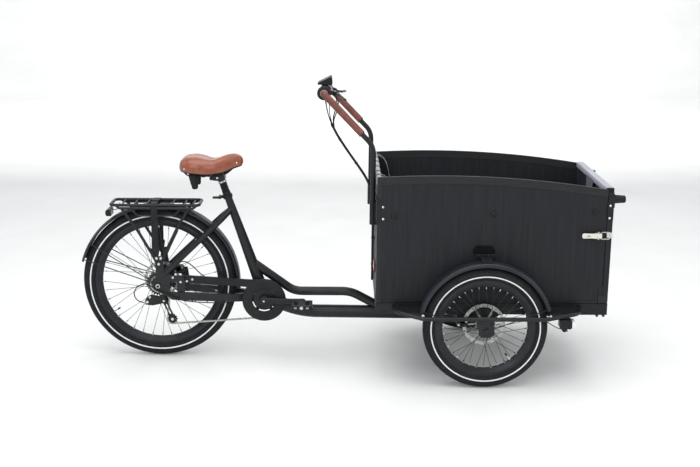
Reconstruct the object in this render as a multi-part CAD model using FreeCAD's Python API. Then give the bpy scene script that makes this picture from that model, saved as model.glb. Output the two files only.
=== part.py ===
"""Front-steering cargo tricycle: a wooden box between two small wheels, pushed by a bicycle rear end.

Millimetres, +X forward, +Y to the rider's left, +Z up. The origin is on the ground under the centre of
the overall length. Lengths along X are measured from the rear axle, heights from a datum LIFT above the
ground, and at() turns both into the part's frame.
"""
import FreeCAD, Part
import math
import os

# overall layout
REAR_AXLE_X = -820.45
WHEELBASE = 1409.0
HALF_TRACK = 381.0
PIVOT_X = 1300.0
HALF_WIDTH = 440.0

# wheels
REAR_AXLE_Z = 334.0
REAR_WHEEL_R = 342.0
REAR_TYRE_R = 31.0
REAR_RIM_IN = 256.5
FRONT_AXLE_Z = 253.0
FRONT_WHEEL_R = 261.0
FRONT_TYRE_R = 29.0
LIFT = REAR_WHEEL_R - REAR_AXLE_Z
FRONT_RIM_IN = 177.0
SPOKES = 36
AXLE_R = 6.0
RUNNING = 0.05

# drive
BB_X = 466.0
BB_Z = 266.0
CHAIN_Y = -44.0
CHAIN_PITCH = 12.7
CHAINRING_TEETH = 42
COG_TEETH = (28, 24, 21, 18, 16, 14, 12)
DRIVEN_COG = 3
COG_SPACING = 4.85
PULLEY_TEETH = 11
PULLEY_UP = (22.0, 262.0)
PULLEY_LOW = (55.0, 172.0)
CRANK_LENGTH = 170.0
SPINDLE_R = 9.0
PEDAL_PIN_R = 5.0
GUARD_R = 97.0

# frame
BEAM_R = 29.0
BEAM_Z = 194.0
UPPER_R = 19.5
SEAT_TOP = (304.73, 734.0)
POST_R = 13.6
STAY_R = 13.0
DROPOUT_Y = 67.5
DROPOUT_T = 7.0
KINGPIN_R = 17.0
HEAD_R = 33.0
HEAD_Z = (160.0, 252.0)

# box
BOX_REAR = 955.0
BOX_FRONT = 1932.0
SIDE_FRONT = 1906.0
SIDE_Y = 312.0
PLY = 12.0
RAIL_Z = (288.0, 338.0)
RAIL_W = 20.0
BOX_TOP_REAR = 872.0
BOX_TOP_MID = (1300.0, 880.0)
BOX_TOP_FRONT = 826.0
DOOR_TOP = 835.0
DOOR_HINGE = (1935.0, 339.0)
DOOR_HINGES = (-220.0, 0.0, 220.0)
DOOR_CHEEK_X = 1889.0
BENCH_Z = 560.0

# handlebar
BAR_R = 11.0
BAR_Y = 200.0
BAR_X = 940.0
BAR_BEND_Z = 984.0
BAR_TOP = (733.0, 1200.0)
LEVER_TILT = math.radians(18.0)
BAR_CORNER = 16.0

# latches
LATCH_Z = 636.0
LATCH_HINGE_X = 1882.0
LATCH_Y = 324.0

Y_AXIS = FreeCAD.Vector(0, 1, 0)
Z_AXIS = FreeCAD.Vector(0, 0, 1)


# ---------------------------------------------------------------- helpers
def at(x, y, z):
    """Point measured forward from the rear axle, as a vector in the part's frame."""
    return FreeCAD.Vector(REAR_AXLE_X + x, y, LIFT + z)


def rod(a, b, radius):
    """Solid cylinder from a to b."""
    return Part.makeCylinder(radius, (b - a).Length, a, b - a)


def pipe(a, b, outer, inner):
    """Hollow cylinder from a to b."""
    return rod(a, b, outer).cut(rod(a, b, inner))


def block(x, y, z):
    """Box between the two values of each pair, x measured from the rear axle."""
    corner = at(x[0], y[0], z[0])
    return Part.makeBox(x[1] - x[0], y[1] - y[0], z[1] - z[0], corner)


def softened(shape, direction, radius):
    """Round the edges that run along a direction."""
    edges = [e for e in shape.Edges if len(e.Vertexes) == 2
             and abs(abs((e.Vertexes[1].Point - e.Vertexes[0].Point).normalize().dot(direction)) - 1) < 1e-6]
    return shape.makeFillet(radius, edges)


def mirrored(shape):
    """The same shape on the other side of the centre plane."""
    return shape.mirror(FreeCAD.Vector(0, 0, 0), Y_AXIS)


def both_sides(shapes):
    """The shapes of the right side, and their mirror images."""
    return list(shapes) + [mirrored(s) for s in shapes]


def plate_xz(points, y0, y1):
    """Upright plate: an outline of (x, z) points from y0 to y1."""
    outline = [at(x, y0, z) for x, z in points]
    face = Part.Face(Part.makePolygon(outline + outline[:1]))
    return face.extrude(FreeCAD.Vector(0, y1 - y0, 0))


def plate_xy(points, z0, z1):
    """Level plate: an outline of (x, y) points from z0 to z1."""
    outline = [at(x, y, z0) for x, y in points]
    face = Part.Face(Part.makePolygon(outline + outline[:1]))
    return face.extrude(FreeCAD.Vector(0, 0, z1 - z0))


def bend_edges(points, bends, closed=False):
    """Straight runs joined by tangent arcs; bends holds one radius, or one for each corner."""
    count = len(points)
    corners = range(count) if closed else range(1, count - 1)
    radii = dict(zip(corners, bends if isinstance(bends, (list, tuple)) else [bends] * len(corners)))
    arcs = {}
    for i in corners:
        here = points[i]
        back = (points[i - 1] - here).normalize()
        ahead = (points[(i + 1) % count] - here).normalize()
        half = math.acos(max(-1.0, min(1.0, back.dot(ahead)))) / 2
        reach = radii[i] / math.tan(half)
        centre = here + (back + ahead).normalize() * (radii[i] / math.sin(half))
        middle = centre + (here - centre).normalize() * radii[i]
        arcs[i] = (here + back * reach, middle, here + ahead * reach)
    edges = []
    for i in range(count if closed else count - 1):
        j = (i + 1) % count
        start = arcs[i][2] if i in arcs else points[i]
        end = arcs[j][0] if j in arcs else points[j]
        edges.append(Part.LineSegment(start, end).toShape())
        if j in arcs:
            edges.append(Part.Arc(*arcs[j]).toShape())
    return edges


def bent_rod(points, bends, radius, closed=False):
    """Round bar along straight runs joined by tangent arcs."""
    edges = bend_edges(points, bends, closed)
    start = edges[0].Vertexes[0].Point
    towards = edges[0].Vertexes[1].Point - start
    section = Part.Wire(Part.makeCircle(radius, start, towards))
    return Part.Wire(edges).makePipeShell([section], True, False)


def revolved(points, centre, start=0.0, sweep=360.0):
    """Ring about a Y axis. The points are (radius, y); angles run from +X up and over, in degrees."""
    outline = [centre + FreeCAD.Vector(r, y, 0) for r, y in points]
    face = Part.Face(Part.makePolygon(outline + outline[:1]))
    face.rotate(centre, FreeCAD.Vector(0, -1, 0), start)
    return face.revolve(centre, FreeCAD.Vector(0, -1, 0), sweep)


def arc_points(centre, radius, start, end, steps):
    """Points on an arc in a plane of (a, b) values, angles in degrees."""
    angles = [math.radians(start + (end - start) * i / steps) for i in range(steps + 1)]
    return [(centre[0] + radius * math.cos(t), centre[1] + radius * math.sin(t)) for t in angles]


def pitch_radius(teeth):
    """Pitch radius of a sprocket for the chain."""
    return CHAIN_PITCH / (2 * math.sin(math.pi / teeth))


def sprocket(centre, teeth, thickness, bore):
    """Toothed disc about a Y axis, centred on the given point."""
    root = pitch_radius(teeth) - 3.9
    tip = pitch_radius(teeth) + 2.6
    step = 2 * math.pi / teeth
    outline = []
    for i in range(teeth):
        for part, radius in ((-0.30, root), (-0.10, tip), (0.10, tip), (0.30, root)):
            angle = (i + part) * step
            outline.append(centre + FreeCAD.Vector(radius * math.cos(angle), 0, radius * math.sin(angle)))
    lift = FreeCAD.Vector(0, -thickness / 2, 0)
    face = Part.Face(Part.makePolygon([p + lift for p in outline + outline[:1]]))
    disc = face.extrude(FreeCAD.Vector(0, thickness, 0))
    return disc.cut(rod(centre + lift * 2, centre - lift * 2, bore))


def save(name, shapes):
    """Write one node. Several solids in a node are separate pieces of one kind."""
    solids = [s for shape in shapes for s in shape.Solids]
    node = solids[0] if len(solids) == 1 else Part.makeCompound(solids)
    assert node.isValid(), name
    assert all(s.Volume > 1.0 for s in solids), name
    node.exportStep("parts/" + name + ".step")


# ---------------------------------------------------------------- wheels
def tyre(centre, wheel_r, section_r, wall):
    """Open-bellied tyre about a Y axis."""
    ring = wheel_r - section_r
    bead = 0.52 * section_r
    outer_end = math.degrees(math.acos(bead / section_r))
    inner_end = math.degrees(math.acos((bead - wall) / (section_r - wall)))
    outer = arc_points((0, ring), section_r, -outer_end, 180 + outer_end, 28)
    inner = arc_points((0, ring), section_r - wall, 180 + inner_end, -inner_end, 24)
    return revolved([(r, y) for y, r in outer + inner], centre)


def rim(centre, wheel_r, section_r, inside):
    """Deep box-section rim that the tyre's beads stand on."""
    bead = 0.52 * section_r
    seat = wheel_r - section_r - math.sqrt(section_r ** 2 - bead ** 2) - 0.05
    skin = [(seat, -bead - 2), (seat - 8, -bead - 2), (inside, -7), (inside, 7),
            (seat - 8, bead + 2), (seat, bead + 2)]
    hollow = [(seat - 3, -bead), (seat - 9, -bead), (inside + 3, -5), (inside + 3, 5),
              (seat - 9, bead), (seat - 3, bead)]
    return revolved(skin, centre).cut(revolved(hollow, centre))


def spokes(centre, rim_r, flange_r, flange_y, crossing):
    """Crossed wire spokes with their nipples; flange_y holds the two flanges' places."""
    wires = []
    inside_rim = rod(centre - Y_AXIS * 90, centre + Y_AXIS * 90, rim_r)
    for side, y in enumerate(flange_y):
        for j in range(SPOKES // 2):
            lean = 1 if j % 2 else -1
            at_rim = math.radians((2 * j + side) * 360 / SPOKES)
            at_hub = at_rim + math.radians(lean * crossing)
            inner = centre + FreeCAD.Vector(flange_r * math.cos(at_hub), y + 1.6 * lean,
                                            flange_r * math.sin(at_hub))
            reach = rim_r + 1.0
            outer = centre + FreeCAD.Vector(reach * math.cos(at_rim), math.copysign(3, y),
                                            reach * math.sin(at_rim))
            nipple = outer + (inner - outer).normalize() * 14
            wires.append(rod(inner, outer, 1.0).fuse(rod(nipple, outer, 2.2)).common(inside_rim))
    return wires


def brake_disc(centre, radius):
    """Ventilated steel rotor, 2 mm thick, about a Y axis."""
    half = FreeCAD.Vector(0, 1, 0)
    disc = pipe(centre - half, centre + half, radius, 0.22 * radius)
    for i in range(6):
        angle = math.radians(60 * i)
        hole = centre + FreeCAD.Vector(0.53 * radius * math.cos(angle), 0, 0.53 * radius * math.sin(angle))
        disc = disc.cut(rod(hole - half * 2, hole + half * 2, 0.2 * radius))
    for i in range(24):
        angle = math.radians(15 * i + 5)
        reach = radius * (0.83 + 0.09 * (i % 2))
        hole = centre + FreeCAD.Vector(reach * math.cos(angle), 0, reach * math.sin(angle))
        disc = disc.cut(rod(hole - half * 2, hole + half * 2, 3.0))
    return disc


def hub(centre, ends, flanges, flange_r, barrel_r, disc_y, disc_r):
    """Hub shell with its two flanges and its brake disc; places along Y are from the wheel's centre."""
    def step(y0, y1, radius):
        return rod(centre + FreeCAD.Vector(0, y0, 0), centre + FreeCAD.Vector(0, y1, 0), radius)
    shell = step(ends[0], ends[1], 11)
    shell = shell.fuse(step(min(flanges) - 2, max(flanges) + 2, barrel_r))
    for y in flanges:
        shell = shell.fuse(step(y - 1.5, y + 1.5, flange_r))
    carrier = math.copysign(1, disc_y)
    shell = shell.fuse(step(*sorted((0, disc_y - carrier)), 0.3 * disc_r))
    bore = step(ends[0] - 1, ends[1] + 1, AXLE_R + RUNNING)
    return [shell.cut(bore), brake_disc(centre + FreeCAD.Vector(0, disc_y, 0), disc_r).cut(
        step(disc_y - 2, disc_y + 2, 12))]


def build_rear_wheel():
    centre = at(0, 0, REAR_AXLE_Z)
    save("rear_tyre", [tyre(centre, REAR_WHEEL_R, REAR_TYRE_R, 3.5)])
    save("rear_rim", [rim(centre, REAR_WHEEL_R, REAR_TYRE_R, REAR_RIM_IN)])
    save("rear_spokes", spokes(centre, REAR_RIM_IN, 30.2, (-22.0, 32.0), 60))
    save("rear_hub", hub(centre, (-26.5, 66.0), (-22.0, 32.0), 30.0, 20.0, 46.0, 80.0))


def build_front_wheels():
    for name, side in (("right", -1), ("left", 1)):
        centre = at(WHEELBASE, side * HALF_TRACK, FRONT_AXLE_Z)
        save("front_tyre_" + name, [tyre(centre, FRONT_WHEEL_R, FRONT_TYRE_R, 3.5)])
        save("front_rim_" + name, [rim(centre, FRONT_WHEEL_R, FRONT_TYRE_R, FRONT_RIM_IN)])
        save("front_spokes_" + name, spokes(centre, FRONT_RIM_IN, 28.2, (-30.0, 30.0), 40))
        save("front_hub_" + name, hub(centre, (-46.5, 46.5), (-30.0, 30.0), 28.0, 18.0, -side * 41.0, 90.0))


# ---------------------------------------------------------------- frame
def seat_point(height, offset=0.0):
    """Point on the seat tube's axis at a height, moved sideways along X by offset."""
    t = (height - BB_Z) / (SEAT_TOP[1] - BB_Z)
    return at(BB_X + t * (SEAT_TOP[0] - BB_X) + offset, 0, height)


def seat_direction():
    return (seat_point(SEAT_TOP[1]) - seat_point(BB_Z)).normalize()


def beam_points():
    return [at(BB_X, 0, BB_Z), at(620, 0, BEAM_Z + 5), at(PIVOT_X - HEAD_R + 4, 0, BEAM_Z)]


def seat_cone(grow=0.0):
    """Swaged seat tube, outside: wide at the bottom bracket, narrow at the clamp."""
    foot = seat_point(BB_Z + 4)
    top = seat_point(SEAT_TOP[1])
    return Part.makeCone(28 + grow, 16 + grow, (top - foot).Length, foot, top - foot)


def bb_shell():
    return rod(at(BB_X, -34, BB_Z), at(BB_X, 34, BB_Z), 22)


def build_frame():
    beam = bent_rod(beam_points(), 400, BEAM_R)
    head = rod(at(PIVOT_X, 0, HEAD_Z[0]), at(PIVOT_X, 0, HEAD_Z[1]), HEAD_R)
    head_bore = rod(at(PIVOT_X, 0, 0), at(PIVOT_X, 0, 400), KINGPIN_R + RUNNING)
    spindle_bore = rod(at(BB_X, -60, BB_Z), at(BB_X, 60, BB_Z), SPINDLE_R + RUNNING)
    inner_points = [at(BB_X + 60, 0, BB_Z - 26), at(620, 0, BEAM_Z + 5), at(PIVOT_X - HEAD_R - 4, 0, BEAM_Z)]
    hollow = bent_rod(inner_points, 400, BEAM_R - 3)
    body = beam.fuse(bb_shell()).fuse(head)
    main_beam = body.cut(hollow).cut(head_bore).cut(spindle_bore)
    save("main_beam", [main_beam])

    upper_points = [seat_point(428), at(597, 0, 292), at(850, 0, 292), at(1030, 0, BEAM_Z + 2)]
    upper = bent_rod(upper_points, [110, 150], UPPER_R)
    upper = upper.cut(bent_rod(upper_points, [110, 150], UPPER_R - 2.5)).cut(seat_cone()).cut(beam)
    save("upper_main_tube", [max(upper.Solids, key=lambda s: s.Volume)])

    post_bore = rod(seat_point(430), seat_point(SEAT_TOP[1] + 20), POST_R + RUNNING)
    seat_tube = seat_cone().cut(post_bore).cut(bb_shell()).cut(beam)
    save("seat_tube", [max(seat_tube.Solids, key=lambda s: s.Volume)])

    plates = dropout_plates()
    stay_path = [at(318, -6, 664), at(280, -50, 628), at(30, -71, 390)]
    stays = both_sides([bent_rod(stay_path, 30, STAY_R)])
    trimmed = []
    for stay, keep in zip(stays, (-1, 1)):
        half_space = block((0, 600), tuple(sorted((0, keep * 200))), (300, 800))
        trimmed.append(stay.common(half_space).cut(seat_cone()).cut(plates[0]).cut(plates[1]))
    save("seat_stays", [max(s.Solids, key=lambda p: p.Volume) for s in trimmed])

    save("chain_stays", chain_stay_pieces(plates))


def dropout_plates():
    outline = [(-20, 318), (-20, 352), (-8, 378), (-8, 442), (24, 442), (30, 396), (62, 380), (112, 382),
               (118, 345), (118, 266), (60, 270), (40, 286), (10, 300)]
    right = plate_xz(outline, -DROPOUT_Y - DROPOUT_T, -DROPOUT_Y)
    window = plate_xz([(52, 305), (52, 350), (84, 350), (84, 305)], -DROPOUT_Y - 20, -DROPOUT_Y + 10)
    right = right.cut(window)
    return [right, mirrored(right)]


def chain_stay_pieces(plates):
    """Two tall oval chain stays, squeezed beside the chainring, with the dropouts and the rear axle."""
    plan = [(448, -26), (388, -27), (322, -50), (100, -75)]
    stay = None
    half = 8.0
    for (xa, ya), (xb, yb) in zip(plan, plan[1:]):
        run = FreeCAD.Vector(xb - xa, yb - ya, 0).normalize()
        side = FreeCAD.Vector(-run.y, run.x, 0) * half
        za = BB_Z - 18 + (BB_X - xa) * 0.06
        zb = BB_Z - 18 + (BB_X - xb) * 0.06
        foot = [at(xa, ya, za) + side, at(xa, ya, za) - side, at(xb, yb, zb) - side, at(xb, yb, zb) + side]
        face = Part.Face(Part.makePolygon(foot + foot[:1]))
        leg = face.extrude(FreeCAD.Vector(0, 0, 36))
        stay = leg if stay is None else stay.fuse(leg)
        stay = stay.fuse(Part.makeCylinder(half, 36, at(xb, yb, zb)))
    right = stay.cut(bb_shell()).cut(bent_rod(beam_points(), 400, BEAM_R)).cut(seat_cone()).cut(plates[0])
    right = max(right.Solids, key=lambda s: s.Volume)
    axle = rod(at(0, -86, REAR_AXLE_Z), at(0, 86, REAR_AXLE_Z), AXLE_R)
    for sign in (-1, 1):
        face = sign * (DROPOUT_Y + DROPOUT_T)
        axle = axle.fuse(rod(at(0, face, REAR_AXLE_Z), at(0, face + sign * 8, REAR_AXLE_Z), 11))
    cut_plates = [p.cut(axle) for p in plates]
    return both_sides([right]) + cut_plates + [axle]


def build_mudguard():
    profile = [(345, -34), (351, -33), (356.5, -23), (358, 0), (356.5, 23), (351, 33), (345, 34),
               (345, 32.4), (350, 31.6), (355, 22), (356.4, 0), (355, -22), (350, -31.6), (345, -32.4)]
    save("rear_mudguard", [revolved(profile, at(0, 0, REAR_AXLE_Z), -4, 168)])


def build_rack():
    height = 697.0
    half = 60.0
    radius = 5.5
    pieces = both_sides([rod(at(-170, -half, height), at(160, -half, height), radius)])
    for x, reach in ((-170, -36), (160, 37)):
        turn = [at(x, -half, height), at(x + reach, -half, height + 3), at(x + reach, half, height + 3),
                at(x, half, height)]
        pieces.append(bent_rod(turn, 30, radius))
    for x in (-140, -70, 20, 90, 140):
        pieces.append(rod(at(x, -half + radius, height), at(x, half - radius, height), 4))
    for top in (-150, 132):
        leg = rod(at(top, -half - 1, height - 6.5), at(8, -81, 432), 6)
        pieces += both_sides([leg.cut(rod(at(-170, -half, height), at(160, -half, height), radius))])
    eye = rod(at(8, -87.2, 432), at(8, -74.6, 432), 9)
    legs = pieces[-4:]
    eyes = both_sides([eye])
    pieces = pieces[:-4] + [leg.cut(eyes[0]).cut(eyes[1]) for leg in legs] + eyes
    separated = []
    for piece in pieces:
        for other in separated:
            if piece.BoundBox.intersect(other.BoundBox):
                piece = piece.cut(other)
        separated.append(max(piece.Solids, key=lambda s: s.Volume))
    save("rear_rack", separated)

    top_z = height + radius + 0.3
    over = block((-8, 20), (-69, 69), (top_z, top_z + 3))
    side = plate_xz([(-8, top_z), (20, top_z), (22, 455), (-6, 455)], -69, -66)
    clamp = softened(block((-14, 26), (-30, 30), (top_z + 3, top_z + 12)), Z_AXIS, 6)
    hook = softened(block((-8, 24), (-72, -66), (443, 455)), Y_AXIS, 4)
    save("rack_strap", [over, clamp] + both_sides([side, hook]))

    body = softened(block((-226, -200), (-42, 42), (630, 672)), Y_AXIS, 6)
    lens = softened(block((-232, -226), (-40, 40), (634, 668)), Y_AXIS, 2)
    arm = block((-206, -202), (-12, 12), (672, 691.5))
    save("rear_lamp", [body, lens, arm])


def build_clamp():
    low = seat_point(SEAT_TOP[1] - 16)
    high = seat_point(SEAT_TOP[1] - 1)
    ring = rod(low, high, 21).cut(seat_cone(0.02))
    ears = block((SEAT_TOP[0] - 36, SEAT_TOP[0] - 12), (-9, 9), (SEAT_TOP[1] - 17, SEAT_TOP[1] - 5))
    slot = block((SEAT_TOP[0] - 60, SEAT_TOP[0]), (-1.5, 1.5), (SEAT_TOP[1] - 40, SEAT_TOP[1] + 40))
    collar = ring.fuse(ears.cut(seat_cone(0.02))).cut(slot)
    bolt = rod(at(SEAT_TOP[0] - 29, -14, SEAT_TOP[1] - 11), at(SEAT_TOP[0] - 29, 13, SEAT_TOP[1] - 11), 3)
    save("seat_clamp", [collar.cut(bolt), bolt])

    pin = at(SEAT_TOP[0] - 29, -20, SEAT_TOP[1] - 11)
    cam = rod(pin - Z_AXIS * 6, pin + Z_AXIS * 6, 5.7)
    arm_points = [(-29, -25.5), (-29, -20), (-48, -19), (-62, -22), (-62, -26), (-48, -25)]
    arm = plate_xy([(SEAT_TOP[0] + x, y) for x, y in arm_points], SEAT_TOP[1] - 15, SEAT_TOP[1] - 7)
    save("seat_clamp_lever", [cam.fuse(arm)])


# ---------------------------------------------------------------- drive
def chain_path():
    """Closed wire through the pitch line: chainring, driven cog and the two pulleys."""
    circles = [((BB_X, BB_Z), pitch_radius(CHAINRING_TEETH), 1),
               ((0.0, REAR_AXLE_Z), pitch_radius(COG_TEETH[DRIVEN_COG]), 1),
               (PULLEY_UP, pitch_radius(PULLEY_TEETH), -1),
               (PULLEY_LOW, pitch_radius(PULLEY_TEETH), 1)]
    leaves = []
    arrives = {}
    for i, (centre, radius, turn) in enumerate(circles):
        k = (i + 1) % len(circles)
        target, target_r, target_turn = circles[k]
        dx = target[0] - centre[0]
        dz = target[1] - centre[1]
        offset = turn * radius - target_turn * target_r
        span = math.sqrt(dx * dx + dz * dz - offset * offset)
        heading = math.atan2(dz, dx) + math.atan2(offset, span)
        right = (math.sin(heading), -math.cos(heading))
        leaves.append((centre[0] + turn * radius * right[0], centre[1] + turn * radius * right[1]))
        arrives[k] = (target[0] + target_turn * target_r * right[0],
                      target[1] + target_turn * target_r * right[1])
    edges = []
    runs = []
    for i, (centre, radius, turn) in enumerate(circles):
        begin = math.atan2(arrives[i][1] - centre[1], arrives[i][0] - centre[0])
        end = math.atan2(leaves[i][1] - centre[1], leaves[i][0] - centre[0])
        while turn * (end - begin) < 0:
            end += turn * 2 * math.pi
        middle = (begin + end) / 2
        half = at(centre[0] + radius * math.cos(middle), CHAIN_Y, centre[1] + radius * math.sin(middle))
        first = at(arrives[i][0], CHAIN_Y, arrives[i][1])
        last = at(leaves[i][0], CHAIN_Y, leaves[i][1])
        following = arrives[(i + 1) % len(circles)]
        ahead = at(following[0], CHAIN_Y, following[1])
        edges.append(Part.Arc(first, half, last).toShape())
        edges.append(Part.LineSegment(last, ahead).toShape())
        runs.append((last, ahead))
    return Part.Wire(edges), runs


def build_chain():
    path, runs = chain_path()
    outer = Part.Face(path.makeOffset2D(4.0))
    inner = Part.Face(path.makeOffset2D(-4.0))
    if outer.Area < inner.Area:
        outer, inner = inner, outer
    band = outer.cut(inner)
    pieces = []
    for y0 in (-3.2, 1.7):
        strip = band.copy()
        strip.translate(FreeCAD.Vector(0, y0, 0))
        pieces.append(strip.extrude(FreeCAD.Vector(0, 1.5, 0)))
    for start, end in (runs[0], runs[3]):
        count = int((end - start).Length / CHAIN_PITCH)
        for i in range(3, count - 2):
            centre = start + (end - start) * (i / count)
            pieces.append(rod(centre - Y_AXIS * 1.7, centre + Y_AXIS * 1.7, 3.8))
    save("chain", pieces)


def build_derailleur():
    up = at(PULLEY_UP[0], CHAIN_Y, PULLEY_UP[1])
    low = at(PULLEY_LOW[0], CHAIN_Y, PULLEY_LOW[1])
    along = (low - up).normalize()
    across = FreeCAD.Vector(-along.z, 0, along.x) * 11
    pieces = []
    pins = []
    for y0 in (5.0, -6.6):
        corner = [up + across, up - across, low - across, low + across]
        face = Part.Face(Part.makePolygon(corner + corner[:1]))
        plate = face.extrude(FreeCAD.Vector(0, 1.6, 0))
        for centre in (up, low):
            plate = plate.fuse(rod(centre, centre + Y_AXIS * 1.6, 14))
        plate.translate(FreeCAD.Vector(0, y0, 0))
        pieces.append(plate)
    for centre in (up, low):
        pins.append(rod(centre - Y_AXIS * 6.6, centre + Y_AXIS * 6.6, 2.5))
    pieces = [p.cut(pins[0]).cut(pins[1]) for p in pieces]
    knuckle = rod(up - Y_AXIS * 23, up - Y_AXIS * 6.6, 12)
    body = plate_xz([(-62, 240), (-62, 276), (-34, 290), (22, 274), (26, 254), (-30, 238)], -67, -53)
    hanger = rod(at(14, -74, 300), at(14, -56, 300), 8)
    strut = plate_xz([(4, 262), (6, 300), (22, 300), (32, 262)], -67, -60)
    main = knuckle.fuse(body).fuse(strut).fuse(hanger.cut(dropout_plates()[0]))
    main = max(main.cut(pins[0]).cut(pins[1]).Solids, key=lambda s: s.Volume)
    cable = bent_rod([at(-62, -60, 250), at(-96, -60, 262), at(-108, -62, 290), at(-92, -66, 322),
                      at(-60, -70, 336), at(-26, -71, 337)], [24, 24, 24, 24], 2.4)
    save("derailleur", pieces + pins + [main, cable.cut(main)])

    for name, centre in (("jockey_wheel_upper", up), ("jockey_wheel_lower", low)):
        wheel = sprocket(centre, PULLEY_TEETH, 2.0, 2.5 + RUNNING)
        boss = pipe(centre - Y_AXIS * 3.6, centre + Y_AXIS * 3.6, 8, 2.5 + RUNNING)
        save(name, [wheel.fuse(boss)])


def build_cassette():
    centre = at(0, 0, REAR_AXLE_Z)
    first = CHAIN_Y + DRIVEN_COG * COG_SPACING
    core = None
    for i, teeth in enumerate(COG_TEETH):
        y = first - i * COG_SPACING
        cog = sprocket(centre + Y_AXIS * y, teeth, 1.9, AXLE_R + RUNNING)
        core = cog if core is None else core.fuse(cog)
    last = first - (len(COG_TEETH) - 1) * COG_SPACING
    barrel = rod(centre + Y_AXIS * (first + 1.5), centre + Y_AXIS * (last - 3), 17)
    core = core.fuse(barrel).cut(rod(centre - Y_AXIS * 90, centre, AXLE_R + RUNNING))
    save("cassette", [core])


def crank_arm(side, forward):
    """Tapered crank arm with its boss and pedal pin; forward is +1 or -1."""
    near = side * 66.0
    far = side * 79.0
    tip_x = BB_X + forward * CRANK_LENGTH
    outline = [(BB_X, BB_Z + 16), (BB_X, BB_Z - 16), (tip_x, BB_Z - 12), (tip_x, BB_Z + 12)]
    arm = plate_xz(outline, near, far)
    arm = arm.fuse(rod(at(BB_X, side * 62, BB_Z), at(BB_X, far, BB_Z), 17))
    arm = arm.fuse(rod(at(tip_x, near, BB_Z), at(tip_x, far, BB_Z), 12))
    arm = arm.fuse(rod(at(tip_x, far, BB_Z), at(tip_x, side * 172, BB_Z), PEDAL_PIN_R))
    return arm.fuse(rod(at(BB_X, far, BB_Z), at(BB_X, far + side * 2, BB_Z), 10))


def build_crank():
    spindle = rod(at(BB_X, -62, BB_Z), at(BB_X, 62, BB_Z), SPINDLE_R)
    centre = at(BB_X, CHAIN_Y, BB_Z)
    ring = sprocket(centre, CHAINRING_TEETH, 2.0, 62)
    spider = rod(centre - Y_AXIS * 5, centre - Y_AXIS, 70).cut(rod(centre - Y_AXIS * 9, centre + Y_AXIS * 9, 52))
    for i in range(5):
        angle = math.radians(72 * i + 18)
        tip = FreeCAD.Vector(58 * math.cos(angle), 0, 58 * math.sin(angle))
        side = FreeCAD.Vector(-math.sin(angle), 0, math.cos(angle))
        corner = [centre + side * 13, centre - side * 13, centre + tip - side * 9, centre + tip + side * 9]
        face = Part.Face(Part.makePolygon([c - Y_AXIS * 5 for c in corner + corner[:1]]))
        spider = spider.fuse(face.extrude(FreeCAD.Vector(0, 4, 0)))
    boss = rod(at(BB_X, -62, BB_Z), centre - Y_AXIS, 20)
    crank = spindle.fuse(spider).fuse(ring).fuse(boss)
    crank = crank.fuse(crank_arm(-1, 1)).fuse(crank_arm(1, -1))
    save("crankset", [crank])

    for name, side, forward in (("pedal_right", -1, 1), ("pedal_left", 1, -1)):
        x = BB_X + forward * CRANK_LENGTH
        y = tuple(sorted((side * 84, side * 176)))
        frame = softened(block((x - 47, x + 47), y, (BB_Z - 11, BB_Z + 11)), Z_AXIS, 10)
        for window in ((x - 36, x - 17), (x + 17, x + 36)):
            frame = frame.cut(block(window, (y[0] + 12, y[1] - 12), (BB_Z - 20, BB_Z + 20)))
        bore = rod(at(x, side * 70, BB_Z), at(x, side * 172.3, BB_Z), PEDAL_PIN_R + RUNNING)
        frame = frame.cut(bore)
        save(name, [frame])


def build_guard():
    """Chain guard: a round cover with a window, and an arm over the chain's upper run."""
    centre = at(BB_X, -61, BB_Z)
    cover = pipe(centre, centre + Y_AXIS * 3, GUARD_R, 52)
    arm = plate_xz([(104, 343), (104, 380), (383, 362), (455, 359), (420, 330), (381, 326)], -61, -58)
    lip = plate_xz([(104, 377), (104, 380), (383, 362), (383, 359)], -58, -52)
    window = rod(centre - Y_AXIS * 3, centre + Y_AXIS * 12, 52)
    stud = rod(at(108, -58, 360), at(108, -67.5, 360), 4)
    tab = plate_xz([(BB_X - 88, 190), (BB_X - 60, 190), (BB_X - 60, 214), (BB_X - 88, 214)], -61, -58)
    guard = cover.fuse(arm).fuse(lip).cut(window).fuse(stud)
    save("chain_guard", [guard.fuse(tab.common(rod(centre, centre + Y_AXIS * 3, GUARD_R)))])


def build_rear_caliper():
    body = softened(block((58, 96), (35, 59.5), (364, 396)), Y_AXIS, 7)
    slot = block((0, 84), (44, 48), (300, 420))
    tab = block((64, 92), (59.5, DROPOUT_Y), (366, 378))
    save("rear_caliper", [body.cut(slot).fuse(tab)])


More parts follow.
